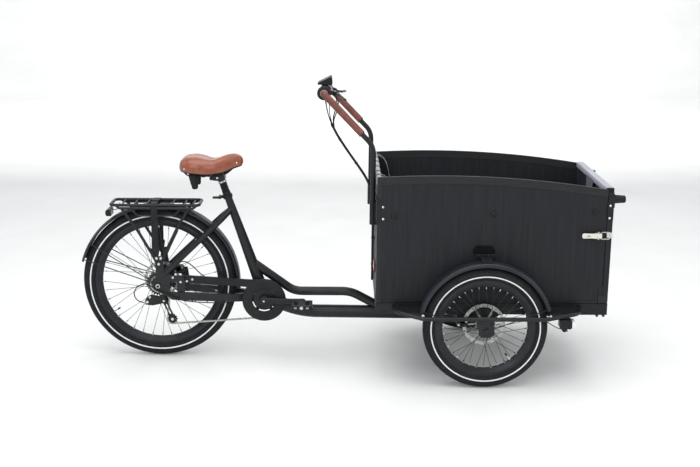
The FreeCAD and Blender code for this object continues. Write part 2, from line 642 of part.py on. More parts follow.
# ---------------------------------------------------------------- saddle
def build_seat():
    u = seat_direction()
    top = seat_point(SEAT_TOP[1])
    post = rod(seat_point(SEAT_TOP[1] - 170), top + u * 12, POST_R)
    cup = rod(top + u * 1, top + u * 14, 17.5)
    guide_bore = rod(top - u * 60, top + u * 30, 8.05)
    save("seat_post", [post.fuse(cup).cut(guide_bore)])

    bellows = None
    folds = 5
    pitch = 9.0
    for i in range(folds):
        low = top + u * (14 + i * pitch)
        for k, (ra, rb) in enumerate(((13, 17), (17, 13))):
            cone = Part.makeCone(ra, rb, pitch / 2, low + u * (k * pitch / 2), u)
            bellows = cone if bellows is None else bellows.fuse(cone)
    bellows = bellows.cut(rod(top, top + u * 90, 8.6))
    save("post_bellows", [bellows])

    neck = top + u * (14 + folds * pitch)
    plunger = rod(top - u * 30, neck + u * 4, 8.0)
    ring = rod(neck, neck + u * 7, 16)
    head = softened(block((232, 300), (-24, 24), (800, 816)), Y_AXIS, 6)
    wedge = rod(neck + u * 6, neck + u * 24, 13)
    save("post_head", [plunger.fuse(ring).fuse(wedge).fuse(head)])

    plan = saddle_plan()
    shell = plate_xy(plan, 780, 930)
    under = plate_xz([(96, 838), (104, 846), (126, 845), (178, 840), (231, 834), (270, 834), (300, 840),
                      (337, 857), (382, 868), (382, 860), (337, 846), (300, 828), (270, 822), (231, 822),
                      (178, 828), (126, 834)], -120, 120)
    base = shell.common(under)
    rails = both_sides([bent_rod([at(130, -22, 814.5), at(165, -22, 819.5), at(290, -22, 819.5)], 20, 3.5)])
    cover_side = saddle_side()
    cover = shell.common(plate_xz(cover_side, -120, 120))
    springs = both_sides([Part.makeCone(22, 10, 68, at(165, -52, 830), FreeCAD.Vector(0.12, 0, -1))])
    base = max(base.cut(cover).Solids, key=lambda s: s.Volume)
    head_zone = block((225, 310), (-40, 40), (780, 816.0))
    springs = [s.cut(base) for s in springs]
    springs = [max(s.Solids, key=lambda p: p.Volume) for s in springs]
    clear = [r.cut(head_zone).cut(cover) for r in rails]
    save("saddle_base", [base.cut(head_zone).cut(clear[0]).cut(clear[1])] + springs + clear)
    save("saddle_cover", [cover])


def saddle_plan():
    """Half-outline of the saddle seen from above, mirrored to a closed outline."""
    half = arc_points((172, 58), 46, 115, 200, 4)[::-1]
    half = [(102, 0), (104, 30)] + half[1:] + [(210, 96), (262, 60), (300, 38), (345, 30), (368, 22), (379, 0)]
    return half + [(x, -y) for x, y in half[-2:0:-1]]


def saddle_side():
    """Side outline of the padded cover: high tail, dipped waist, raised nose."""
    bottom = [(96, 846), (126, 845), (178, 840), (231, 834), (270, 834), (300, 840), (337, 857), (382, 868)]
    crest = [(380, 886), (370, 903), (345, 915), (315, 914), (285, 903), (252, 891), (222, 896), (180, 908),
             (140, 905), (112, 890), (98, 864)]
    return bottom + crest


# ---------------------------------------------------------------- box and front carriage
def top_of_side(x):
    """Height of the side's arched top edge."""
    a = (BOX_REAR, BOX_TOP_REAR)
    b = BOX_TOP_MID
    c = (SIDE_FRONT, BOX_TOP_FRONT)
    terms = []
    for p, q, r in ((a, b, c), (b, a, c), (c, a, b)):
        terms.append(p[1] * (x - q[0]) * (x - r[0]) / ((p[0] - q[0]) * (p[0] - r[0])))
    return sum(terms)


def side_face(low, high, x0, x1, y):
    """Face of the side between two heights measured down from the arched top edge, or a fixed low edge."""
    xs = [x0 + (x1 - x0) * i / 12 for i in range(13)]
    upper = [at(x, y, top_of_side(x) - high) for x in xs]
    top = Part.BSplineCurve()
    top.interpolate(upper)
    edges = [top.toShape()]
    if low is None:
        lower = [at(x1, y, RAIL_Z[1]), at(x0, y, RAIL_Z[1])]
        edges.append(Part.LineSegment(upper[-1], lower[0]).toShape())
        edges.append(Part.LineSegment(lower[0], lower[1]).toShape())
        edges.append(Part.LineSegment(lower[1], upper[0]).toShape())
        return Part.Face(Part.Wire(edges))
    bottom_points = [at(x, y, top_of_side(x) - low) for x in xs]
    bottom = Part.BSplineCurve()
    bottom.interpolate(bottom_points)
    edges.append(Part.LineSegment(upper[-1], bottom_points[-1]).toShape())
    edges.append(bottom.toShape())
    edges.append(Part.LineSegment(bottom_points[0], upper[0]).toShape())
    return Part.Face(Part.Wire(Part.__sortEdges__(edges)))


def corner_cut(grow):
    """Rounded corner at the foot of the side's front edge, where the door's cheek sits."""
    left = DOOR_CHEEK_X - grow
    centre = (1931.0, 385.0)
    radius = centre[0] - left
    outline = [(left, 300.0)] + arc_points(centre, radius, 180, 90, 10) + [(1960.0, 385.0 + radius), (1960.0, 300.0)]
    return plate_xz(outline, -SIDE_Y - 5, -SIDE_Y + PLY + 5)


def build_box():
    pin = rod(at(PIVOT_X, 0, 158.6), at(PIVOT_X, 0, 253), KINGPIN_R)
    nut = rod(at(PIVOT_X, 0, 150), at(PIVOT_X, 0, 158.6), 25)
    deck = block((PIVOT_X - 120, PIVOT_X + 120), (-90, 90), (253, RAIL_Z[0]))
    wall = 3.0
    long_rail = block((BOX_REAR, BOX_FRONT), (-SIDE_Y, -SIDE_Y + RAIL_W), RAIL_Z).cut(
        block((BOX_REAR, BOX_FRONT), (-SIDE_Y + wall, -SIDE_Y + RAIL_W - wall), (RAIL_Z[0] + wall, RAIL_Z[1] - wall)))
    cross = []
    inner = SIDE_Y - RAIL_W
    for x0, width in ((BOX_REAR, 20), (PIVOT_X - 110, 40), (WHEELBASE - 20, 40), (BOX_FRONT - 20, 20)):
        cross.append(block((x0, x0 + width), (-inner, inner), RAIL_Z).cut(
            block((x0 + wall, x0 + width - wall), (-inner, inner), (RAIL_Z[0] + wall, RAIL_Z[1] - wall))))
    hinges = []
    for y in DOOR_HINGES:
        hinge = at(DOOR_HINGE[0], y, DOOR_HINGE[1])
        leaf = block((BOX_FRONT, BOX_FRONT + 1.4), (y - 30, y + 30), (RAIL_Z[0] + 12, RAIL_Z[1] - 0.6))
        leaf = leaf.cut(rod(hinge - Y_AXIS * 12.1, hinge + Y_AXIS * 12.1, 3.1))
        leaf = leaf.fuse(rod(hinge - Y_AXIS * 30, hinge + Y_AXIS * 30, 1.25))
        for low, high in ((-30, -12.2), (12.2, 30)):
            leaf = leaf.fuse(rod(hinge + Y_AXIS * low, hinge + Y_AXIS * high, 3.0))
        hinges.append(leaf)
    save("front_subframe", both_sides([long_rail]) + cross + [deck, pin, nut] + hinges)

    save("box_floor", [block((BOX_REAR + PLY, SIDE_FRONT), (-SIDE_Y + PLY, SIDE_Y - PLY),
                             (RAIL_Z[1], RAIL_Z[1] + PLY))])

    panel = side_face(None, 0.0, BOX_REAR, SIDE_FRONT, -SIDE_Y).extrude(FreeCAD.Vector(0, PLY, 0))
    panel = panel.cut(corner_cut(1.0))
    strip = side_face(32.0, 1.0, BOX_REAR + 1, SIDE_FRONT - 1, -SIDE_Y - 1.5).extrude(FreeCAD.Vector(0, 1.5, 0))
    post = block((BOX_REAR, BOX_REAR + 18), (-SIDE_Y - 1.5, -SIDE_Y), (RAIL_Z[1] + 1, 680))
    bracket = block((BOX_REAR - 3, BOX_REAR + 16), (-SIDE_Y - 3, -SIDE_Y), (682, 782))
    bolts = [rod(at(BOX_REAR + 24, -SIDE_Y - 4, z), at(BOX_REAR + 24, -SIDE_Y, z), 4.5) for z in (699, 750)]
    plugs = [rod(at(x, -SIDE_Y - 5, z), at(x, -SIDE_Y, z), 11) for x, z in ((1025, 712), (1438, 722), (1852, 732))]
    screws = [rod(at(x, -SIDE_Y - 2, z), at(x, -SIDE_Y, z), 5) for x, z in ((1016, 528), (1233, 503), (1692, 531))]
    latch_base = block((1822, LATCH_HINGE_X + 8), (-SIDE_Y - 2, -SIDE_Y), (LATCH_Z - 13, LATCH_Z + 13))
    ears = [block((LATCH_HINGE_X - 5, LATCH_HINGE_X + 5), (-LATCH_Y - 5, -SIDE_Y - 2), z)
            for z in ((LATCH_Z - 12, LATCH_Z - 9), (LATCH_Z + 9, LATCH_Z + 12))]
    pivot = rod(at(LATCH_HINGE_X, -LATCH_Y, LATCH_Z - 12), at(LATCH_HINGE_X, -LATCH_Y, LATCH_Z + 12), 2.0)
    base = latch_base.fuse(ears[0]).fuse(ears[1]).fuse(pivot)
    right = [panel, strip, post, bracket] + bolts + plugs + screws + [base]
    save("box_side_right", right)
    save("box_side_left", [mirrored(s) for s in right])

    rear = block((BOX_REAR, BOX_REAR + PLY), (-SIDE_Y + PLY, SIDE_Y - PLY), (RAIL_Z[1], BOX_TOP_REAR - 6))
    cap = block((BOX_REAR - 3, BOX_REAR + PLY + 5), (-SIDE_Y + PLY, SIDE_Y - PLY),
                (BOX_TOP_REAR - 30, BOX_TOP_REAR + 3)).cut(rear)
    low_end = at(BAR_X, -BAR_Y, 650)
    high_end = at(BAR_X, -BAR_Y, 757)
    foot = block((BAR_X + 6, BOX_REAR), (-BAR_Y - 12, -BAR_Y + 12), (658, 749))
    tube = rod(low_end, high_end, 13.5).fuse(foot).cut(rod(low_end, high_end, BAR_R + 0.02))
    sockets = both_sides([tube])
    arms = both_sides([block((BOX_REAR - 3, BOX_REAR), (-SIDE_Y, -BAR_Y - 12), (682, 782))])
    reflector = softened(block((BOX_REAR - 8, BOX_REAR), (-190, -110), (436, 474)), FreeCAD.Vector(1, 0, 0), 6)
    save("box_rear_panel", [rear, cap] + sockets + arms + [reflector])

    board = block((BOX_REAR + PLY + 0.5, BOX_REAR + PLY + 290), (-SIDE_Y + PLY + 1, SIDE_Y - PLY - 1),
                  (BENCH_Z, BENCH_Z + PLY))
    batten = block((BOX_REAR + PLY + 0.5, BOX_REAR + PLY + 280), (-SIDE_Y + PLY, -SIDE_Y + PLY + 25),
                   (BENCH_Z - 25, BENCH_Z))
    save("bench_seat", [board] + both_sides([batten]))


def build_door():
    inner_y = SIDE_Y - PLY
    panel = block((SIDE_FRONT + 2, BOX_FRONT), (-SIDE_Y, SIDE_Y), (RAIL_Z[1] + 2, DOOR_TOP - 20))
    cap = block((SIDE_FRONT - 8, BOX_FRONT + 2), (-SIDE_Y + PLY + 2, SIDE_Y - PLY - 2), (DOOR_TOP - 24, DOOR_TOP))
    cap = cap.cut(panel)
    cheek = corner_cut(0.0).common(block((1800, SIDE_FRONT + 2), (-SIDE_Y, -inner_y - 1), (RAIL_Z[1] + 1, 460)))
    foot_z = 783.0
    bracket = block((SIDE_FRONT + 3, BOX_FRONT), (-SIDE_Y - 3, -SIDE_Y), (foot_z - 84, foot_z + 18))
    flange = block((BOX_FRONT, BOX_FRONT + 3), (-SIDE_Y - 3, -SIDE_Y + 60), (foot_z - 30, foot_z + 26))
    foot = Part.makeCone(19, 14.5, 50, at(BOX_FRONT + 3, -282, foot_z), FreeCAD.Vector(1, 0, 0))
    bolts = [rod(at(1918, -SIDE_Y - 6, z), at(1918, -SIDE_Y - 3, z), 4.5) for z in (709, 760)]
    catch = block((SIDE_FRONT + 3, BOX_FRONT), (-SIDE_Y - 2.6, -SIDE_Y), (LATCH_Z - 11, LATCH_Z + 11))
    wrap = block((BOX_FRONT, BOX_FRONT + 2), (-SIDE_Y - 2.6, -SIDE_Y + 26), (LATCH_Z - 11, LATCH_Z + 11))
    right = [cheek, bracket.fuse(flange), foot] + bolts + [catch.fuse(wrap)]
    knuckles = []
    for y in DOOR_HINGES:
        hinge = at(DOOR_HINGE[0], y, DOOR_HINGE[1])
        leaf = block((BOX_FRONT, BOX_FRONT + 1.6), (y - 30, y + 30), (DOOR_HINGE[1] + 3, DOOR_HINGE[1] + 34))
        barrel = pipe(hinge - Y_AXIS * 12, hinge + Y_AXIS * 12, 3.0, 1.3)
        web = block((BOX_FRONT, BOX_FRONT + 1.4), (y - 12, y + 12), (DOOR_HINGE[1] + 1.5, DOOR_HINGE[1] + 3))
        knuckles.append(leaf.fuse(web).fuse(barrel))
    save("front_door", [panel, cap] + both_sides(right) + knuckles)


def build_latches():
    hinge = at(LATCH_HINGE_X, -LATCH_Y, LATCH_Z)
    pocket = rod(hinge - Z_AXIS * 20, hinge + Z_AXIS * 20, 2.0 + RUNNING)
    nose = rod(hinge - Z_AXIS * 8.7, hinge + Z_AXIS * 8.7, 5.0)
    handle = block((LATCH_HINGE_X - 76, LATCH_HINGE_X), (-LATCH_Y - 5, -LATCH_Y - 1), (LATCH_Z - 8.7, LATCH_Z + 8.7))
    handle = softened(handle, Y_AXIS, 3)
    cross_pin = rod(at(LATCH_HINGE_X - 9, -LATCH_Y + 1, LATCH_Z - 15.5), at(LATCH_HINGE_X - 9, -LATCH_Y + 1, LATCH_Z + 15.5), 1.5)
    lug = block((LATCH_HINGE_X - 13, LATCH_HINGE_X), (-LATCH_Y - 2, -LATCH_Y + 4), (LATCH_Z - 7, LATCH_Z + 7))
    lever = nose.fuse(handle).fuse(lug).cut(pocket).fuse(cross_pin)
    save("latch_lever_right", [lever])
    save("latch_lever_left", [mirrored(lever)])

    start_x = LATCH_HINGE_X - 9
    y = -LATCH_Y + 1
    end_x = BOX_FRONT - 12
    path = [at(start_x + 2.0, y, LATCH_Z - 14), at(end_x - 3, y, LATCH_Z - 14), at(end_x + 2, y + 2, LATCH_Z - 10),
            at(end_x + 2, y + 2, LATCH_Z + 10), at(end_x - 3, y, LATCH_Z + 14), at(start_x + 2.0, y, LATCH_Z + 14)]
    wire = bent_rod(path, [2.5, 2.5, 2.5, 2.5], 1.5)
    for z in (LATCH_Z - 14, LATCH_Z + 14):
        eye = pipe(at(start_x, y, z - 1.4), at(start_x, y, z + 1.4), 3.6, 1.5 + RUNNING)
        wire = wire.cut(rod(at(start_x, y, z - 3), at(start_x, y, z + 3), 3.0)).fuse(eye)
    save("latch_bail_right", [wire])
    save("latch_bail_left", [mirrored(wire)])


# ---------------------------------------------------------------- outriggers, mudguards, brakes, lamps
def build_outriggers():
    bar_y = -431.0
    low = 305.0
    path = [at(1030, -SIDE_Y + 3, 322), at(1042, -395, 322), at(1150, bar_y, low), at(1655, bar_y, low),
            at(1795, -400, 322), at(1813, -SIDE_Y + 3, 322)]
    bar = bent_rod(path, [40, 60, 60, 40], 9)
    outer = plate_xz([(1376, 297), (1376, 240), (1388, 226), (1428, 226), (1442, 240), (1442, 297)], -434, -428)
    inner = plate_xz([(1380, 320), (1380, 240), (1392, 228), (1426, 228), (1438, 240), (1438, 320)], -334, -328)
    spacer = block((1384, 1434), (-328, -SIDE_Y), (294, 320))
    axle = rod(at(WHEELBASE, -440, FRONT_AXLE_Z), at(WHEELBASE, -320, FRONT_AXLE_Z), AXLE_R)
    nut_out = rod(at(WHEELBASE, -HALF_WIDTH, FRONT_AXLE_Z), at(WHEELBASE, -434, FRONT_AXLE_Z), 11)
    nut_in = rod(at(WHEELBASE, -328, FRONT_AXLE_Z), at(WHEELBASE, -320, FRONT_AXLE_Z), 11)
    axle = axle.fuse(nut_out).fuse(nut_in)
    steps = [plate_xy([(1056, -SIDE_Y), (1050, -388), (1140, -424), (1150, -SIDE_Y - 34), (1150, -SIDE_Y)], 318, 323),
             plate_xy([(1785, -SIDE_Y), (1783, -392), (1664, -424), (1660, -SIDE_Y - 34), (1660, -SIDE_Y)], 318, 323)]
    steps = [s.cut(bar) for s in steps]
    steps = [max(s.Solids, key=lambda p: p.Volume) for s in steps]
    cuts = (1000, 1060, 1150, 1655, 1780, 1900)
    runs = [bar.common(block((a, b), (-500, -SIDE_Y), (280, 350))) for a, b in zip(cuts, cuts[1:])]
    pieces = runs + [outer.cut(bar).cut(axle), inner.cut(axle), spacer, axle] + steps
    save("outrigger_bars", both_sides(pieces))

    y = HALF_TRACK
    profile = [(268, -30), (279, -29), (284, -20), (285.5, 0), (284, 20), (279, 29), (268, 30),
               (268, 28.4), (277.6, 27.6), (282.4, 19), (283.9, 0), (282.4, -19), (277.6, -27.6), (268, -28.4)]
    guard = revolved(profile, at(WHEELBASE, -y, FRONT_AXLE_Z), 18, 147)
    arm = block((WHEELBASE - 24, WHEELBASE + 24), (-y - 20, -SIDE_Y), (539.5, 544))
    foot = block((WHEELBASE - 30, WHEELBASE + 30), (-SIDE_Y - 4, -SIDE_Y), (544, 572))
    bracket = arm.fuse(foot).cut(guard)
    bracket = max(bracket.Solids, key=lambda s: s.Volume)
    save("front_mudguards", both_sides([guard, bracket]))

    body = softened(block((1296, 1344), (-354, -326), (244, 278)), Y_AXIS, 8)
    slot = block((1305, 1360), (-342.4, -337.6), (200, 300))
    arm = block((1340, 1380), (-333, -328), (248, 272))
    save("front_calipers", both_sides([body.cut(slot).fuse(arm)]))

    housing = softened(block((1712, 1772), (-428, -384), (262, 300)), Y_AXIS, 6)
    lens = softened(block((1772, 1781), (-425, -387), (266, 297)), FreeCAD.Vector(1, 0, 0), 5)
    tail = Part.makeCone(15, 8, 16, at(1737, -406, 262), FreeCAD.Vector(0, 0, -1))
    stem = block((1722, 1748), (-418, -394), (300, 318))
    stem = stem.cut(bar)
    stem = max(stem.Solids, key=lambda s: s.Volume)
    save("front_lamps", both_sides([housing, lens, tail, stem]))


# ---------------------------------------------------------------- handlebar
def bar_slope():
    return (at(BAR_TOP[0], 0, BAR_TOP[1]) - at(BAR_X, 0, BAR_BEND_Z)).normalize()


def build_handlebar():
    slope = bar_slope()
    top = at(BAR_TOP[0], -BAR_Y, BAR_TOP[1])
    bend = at(BAR_X, -BAR_Y, BAR_BEND_Z)
    half = [at(BAR_X, -BAR_Y, 650), bend, top]
    path = half + [FreeCAD.Vector(p.x, -p.y, p.z) for p in half[::-1]]
    bends = [80, BAR_CORNER, BAR_CORNER, 80]
    save("handlebar", [bent_rod(path, bends, BAR_R).cut(bent_rod(path, bends, BAR_R - 2))])

    start = bend + slope * 72
    end = top - slope * 17
    wrap = pipe(start, end, 14.5, BAR_R + 0.02)
    save("handlebar_grips", both_sides([wrap]))

    ring_y = (-183.0, -152.0)
    ring = pipe(at(BAR_TOP[0], ring_y[0], BAR_TOP[1]), at(BAR_TOP[0], ring_y[1], BAR_TOP[1]), 29, BAR_R + RUNNING)
    save("shifter_ring", [ring])


def local_shape(shape, y):
    """Place a shape drawn with X to the right side, Y away from the bar and Z up from the lever's plane."""
    d = FreeCAD.Vector(math.cos(LEVER_TILT), 0, -math.sin(LEVER_TILT))
    n = FreeCAD.Vector(math.sin(LEVER_TILT), 0, math.cos(LEVER_TILT))
    origin = at(BAR_TOP[0], y, BAR_TOP[1])
    m = FreeCAD.Matrix(0, d.x, n.x, origin.x, -1, 0, 0, origin.y, 0, d.z, n.z, origin.z, 0, 0, 0, 1)
    return shape.transformed(m)


def flat(points, z0, z1):
    outline = [FreeCAD.Vector(x, y, z0) for x, y in points]
    return Part.Face(Part.makePolygon(outline + outline[:1])).extrude(FreeCAD.Vector(0, 0, z1 - z0))


def build_cockpit():
    pieces = []
    pivot = FreeCAD.Vector(0, 44, 0)
    lever = flat([(-6, 36), (-6, 52), (16, 76), (98, 90), (103, 86), (100, 81), (22, 66), (8, 44)], -4.5, 4.5)
    lever = lever.cut(Part.makeCylinder(3 + RUNNING, 40, pivot - Z_AXIS * 20, Z_AXIS))
    perch = flat([(-12, 11), (12, 11), (12, 32), (8, 52), (-8, 52), (-12, 32)], -9, 9)
    gap = flat([(-9, 34), (60, 34), (60, 100), (-9, 100)], -5, 5)
    pin = Part.makeCylinder(3, 18, pivot - Z_AXIS * 9, Z_AXIS)
    perch = perch.cut(gap).fuse(pin)
    band = Part.makeCylinder(16, 24, FreeCAD.Vector(-12, 0, 0), FreeCAD.Vector(1, 0, 0))
    bore = Part.makeCylinder(BAR_R + 0.02, 60, FreeCAD.Vector(-30, 0, 0), FreeCAD.Vector(1, 0, 0))
    perch = perch.fuse(band).cut(bore)
    place_y = -62.0
    save("brake_lever_right", [local_shape(lever, place_y)])
    save("brake_lever_left", [mirrored(local_shape(lever, place_y))])
    pieces += both_sides([local_shape(perch, place_y)])

    ring = pipe(at(BAR_TOP[0], -18, BAR_TOP[1]), at(BAR_TOP[0], 18, BAR_TOP[1]), 15.5, BAR_R + 0.02)
    stem = plate_xz([(BAR_TOP[0] - 8, BAR_TOP[1] + 12), (BAR_TOP[0] + 12, BAR_TOP[1] + 10),
                     (BAR_TOP[0] + 16, BAR_TOP[1] + 32), (BAR_TOP[0] - 6, BAR_TOP[1] + 32)], -14, 14)
    stem = stem.cut(rod(at(BAR_TOP[0], -30, BAR_TOP[1]), at(BAR_TOP[0], 30, BAR_TOP[1]), BAR_R + 0.02))
    screen = plate_xz([(BAR_TOP[0] - 29, BAR_TOP[1] + 23), (BAR_TOP[0] - 30, BAR_TOP[1] + 30),
                       (BAR_TOP[0] + 28, BAR_TOP[1] + 54), (BAR_TOP[0] + 34, BAR_TOP[1] + 53),
                       (BAR_TOP[0] + 36, BAR_TOP[1] + 26), (BAR_TOP[0] + 30, BAR_TOP[1] + 22)], -42, 42)
    display = ring.fuse(stem).fuse(softened_display(screen))
    shifter_case = rod(at(BAR_TOP[0], -151.5, BAR_TOP[1]), at(BAR_TOP[0], -132, BAR_TOP[1]), 22)
    shifter_case = shifter_case.cut(rod(at(BAR_TOP[0], -200, BAR_TOP[1]), at(BAR_TOP[0], 0, BAR_TOP[1]), BAR_R + 0.02))
    save("cockpit", pieces + [display, shifter_case])


def softened_display(shape):
    return shape.makeFillet(1.5, [e for e in shape.Edges if e.Length > 80])


def build_loom():
    route = [at(756, 0, 1178), at(752, 0, 1120), at(757, 0, 1064), at(782, 0, 1008), at(816, 0, 955),
             at(852, 0, 903), at(890, 0, 850), at(922, 0, 800), at(943, 0, 744), at(947, 0, 684), at(947, 0, 600),
             at(947.4, 0, 480), at(947, 0, 345)]
    radii = []
    for before, here, after in zip(route, route[1:], route[2:]):
        into = here - before
        out = after - here
        turn = into.getAngle(out)
        radii.append(round(0.45 * min(into.Length, out.Length) / math.tan(max(turn, 0.002) / 2), 1))
    save("cable_loom", [bent_rod(route, radii, 5.0)])


def main():
    os.makedirs("parts", exist_ok=True)
    build_rear_wheel()
    build_front_wheels()
    build_frame()
    build_mudguard()
    build_rack()
    build_clamp()
    build_chain()
    build_derailleur()
    build_cassette()
    build_crank()
    build_guard()
    build_rear_caliper()
    build_seat()
    build_box()
    build_door()
    build_latches()
    build_outriggers()
    build_handlebar()
    build_cockpit()
    build_loom()


main()
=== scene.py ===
"""Visual model of the cargo bicycle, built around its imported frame.

Lengths in calls are millimetres, with X measured forward from the rear axle and Z from a datum LIFT above
the ground; at() turns them into metres in the frame that the CAD nodes share.
"""
import bpy
import bmesh
import math
from mathutils import Matrix, Vector


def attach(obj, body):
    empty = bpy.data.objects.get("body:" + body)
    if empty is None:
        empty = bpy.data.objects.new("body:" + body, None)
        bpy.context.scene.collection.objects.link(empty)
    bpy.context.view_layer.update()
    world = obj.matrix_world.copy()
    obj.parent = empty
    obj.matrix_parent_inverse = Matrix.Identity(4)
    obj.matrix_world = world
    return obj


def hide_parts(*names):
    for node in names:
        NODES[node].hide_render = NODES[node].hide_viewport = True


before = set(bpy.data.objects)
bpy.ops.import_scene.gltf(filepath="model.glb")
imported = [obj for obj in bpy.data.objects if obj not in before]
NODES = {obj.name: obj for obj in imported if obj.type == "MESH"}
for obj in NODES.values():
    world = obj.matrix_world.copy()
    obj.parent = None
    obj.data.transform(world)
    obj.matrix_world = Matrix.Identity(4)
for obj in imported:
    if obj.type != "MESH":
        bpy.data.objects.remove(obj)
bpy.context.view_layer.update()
scene = bpy.context.scene

MM = 0.001
REAR_AXLE_X = -820.45
LIFT = 8.0
REAR_AXLE_Z = 334.0
REAR_R = 342.0
FRONT_AXLE_Z = 253.0
FRONT_R = 261.0
WHEELBASE = 1409.0
HALF_TRACK = 381.0
BB = (466.0, 266.0)    # bottom bracket, X and Z
CRANK = 170.0
SIDE_Y = 312.0
Y_AXIS = Vector((0, 1, 0))
Z_AXIS = Vector((0, 0, 1))
OUTWARD = (0, -1, 0)    # away from the object on its right side, which the camera sees


def at(x, y, z):
    """Point in metres from X ahead of the rear axle, Y to the left and Z above the datum, in millimetres."""
    return Vector((REAR_AXLE_X + x, y, LIFT + z)) * MM


# ---------------------------------------------------------------- materials
def surface(name, low, high, rough, metal=0.0, scale=18.0, stretch=(1, 1, 1), rough_span=0.12, bump=0.0,
            bump_scale=500.0, bump_stretch=(1, 1, 1), pattern="noise", coat=0.0, sheen=0.0, spread=0.2,
            detail=5.0, bump_depth=0.0004, specular=0.5):
    """Procedural material: a clouded colour, a clouded roughness and a fine relief."""
    mat = bpy.data.materials.new(name)
    mat.use_nodes = True
    nodes = mat.node_tree.nodes
    link = mat.node_tree.links.new
    bsdf = nodes["Principled BSDF"]
    bsdf.inputs["Metallic"].default_value = metal
    bsdf.inputs["Coat Weight"].default_value = coat
    bsdf.inputs["Coat Roughness"].default_value = 0.25
    bsdf.inputs["Sheen Weight"].default_value = sheen
    bsdf.inputs["Specular IOR Level"].default_value = specular
    coords = nodes.new("ShaderNodeTexCoord")

    def stretched(by):
        """Object coordinates scaled along each axis."""
        mapping = nodes.new("ShaderNodeMapping")
        mapping.inputs["Scale"].default_value = by
        link(coords.outputs["Object"], mapping.inputs["Vector"])
        return mapping.outputs["Vector"]

    def noise(by, size, depth):
        """Noise texture in object space."""
        tex = nodes.new("ShaderNodeTexNoise")
        tex.inputs["Scale"].default_value = size
        tex.inputs["Detail"].default_value = depth
        tex.inputs["Roughness"].default_value = 0.6
        link(stretched(by), tex.inputs["Vector"])
        return tex.outputs["Fac"]

    cloud = noise(stretch, scale, detail)
    ramp = nodes.new("ShaderNodeValToRGB")
    ramp.color_ramp.elements[0].position = 0.5 - spread
    ramp.color_ramp.elements[1].position = 0.5 + spread
    ramp.color_ramp.elements[0].color = (*low, 1)
    ramp.color_ramp.elements[1].color = (*high, 1)
    link(cloud, ramp.inputs["Fac"])
    link(ramp.outputs["Color"], bsdf.inputs["Base Color"])

    span = nodes.new("ShaderNodeMapRange")
    span.inputs["From Min"].default_value = 0.3
    span.inputs["From Max"].default_value = 0.7
    span.inputs["To Min"].default_value = max(0.05, rough - rough_span)
    span.inputs["To Max"].default_value = min(1.0, rough + rough_span)
    link(noise(stretch, scale * 2.3, 3.0), span.inputs["Value"])
    link(span.outputs["Result"], bsdf.inputs["Roughness"])

    if bump:
        relief = nodes.new("ShaderNodeBump")
        relief.inputs["Strength"].default_value = bump
        relief.inputs["Distance"].default_value = bump_depth
        if pattern == "noise":
            height = noise(bump_stretch, bump_scale, 4.0)
        elif pattern == "grain":
            cells = nodes.new("ShaderNodeTexVoronoi")
            cells.feature = "DISTANCE_TO_EDGE"
            cells.inputs["Scale"].default_value = bump_scale
            link(stretched(bump_stretch), cells.inputs["Vector"])
            height = cells.outputs["Distance"]
        else:
            weave = []
            for direction in ("X", "Z"):
                wave = nodes.new("ShaderNodeTexWave")
                wave.bands_direction = direction
                wave.inputs["Scale"].default_value = bump_scale
                link(stretched(bump_stretch), wave.inputs["Vector"])
                weave.append(wave.outputs["Fac"])
            both = nodes.new("ShaderNodeMath")
            both.operation = "MULTIPLY"
            link(weave[0], both.inputs[0])
            link(weave[1], both.inputs[1])
            height = both.outputs[0]
        link(height, relief.inputs["Height"])
        link(relief.outputs["Normal"], bsdf.inputs["Normal"])
    return mat


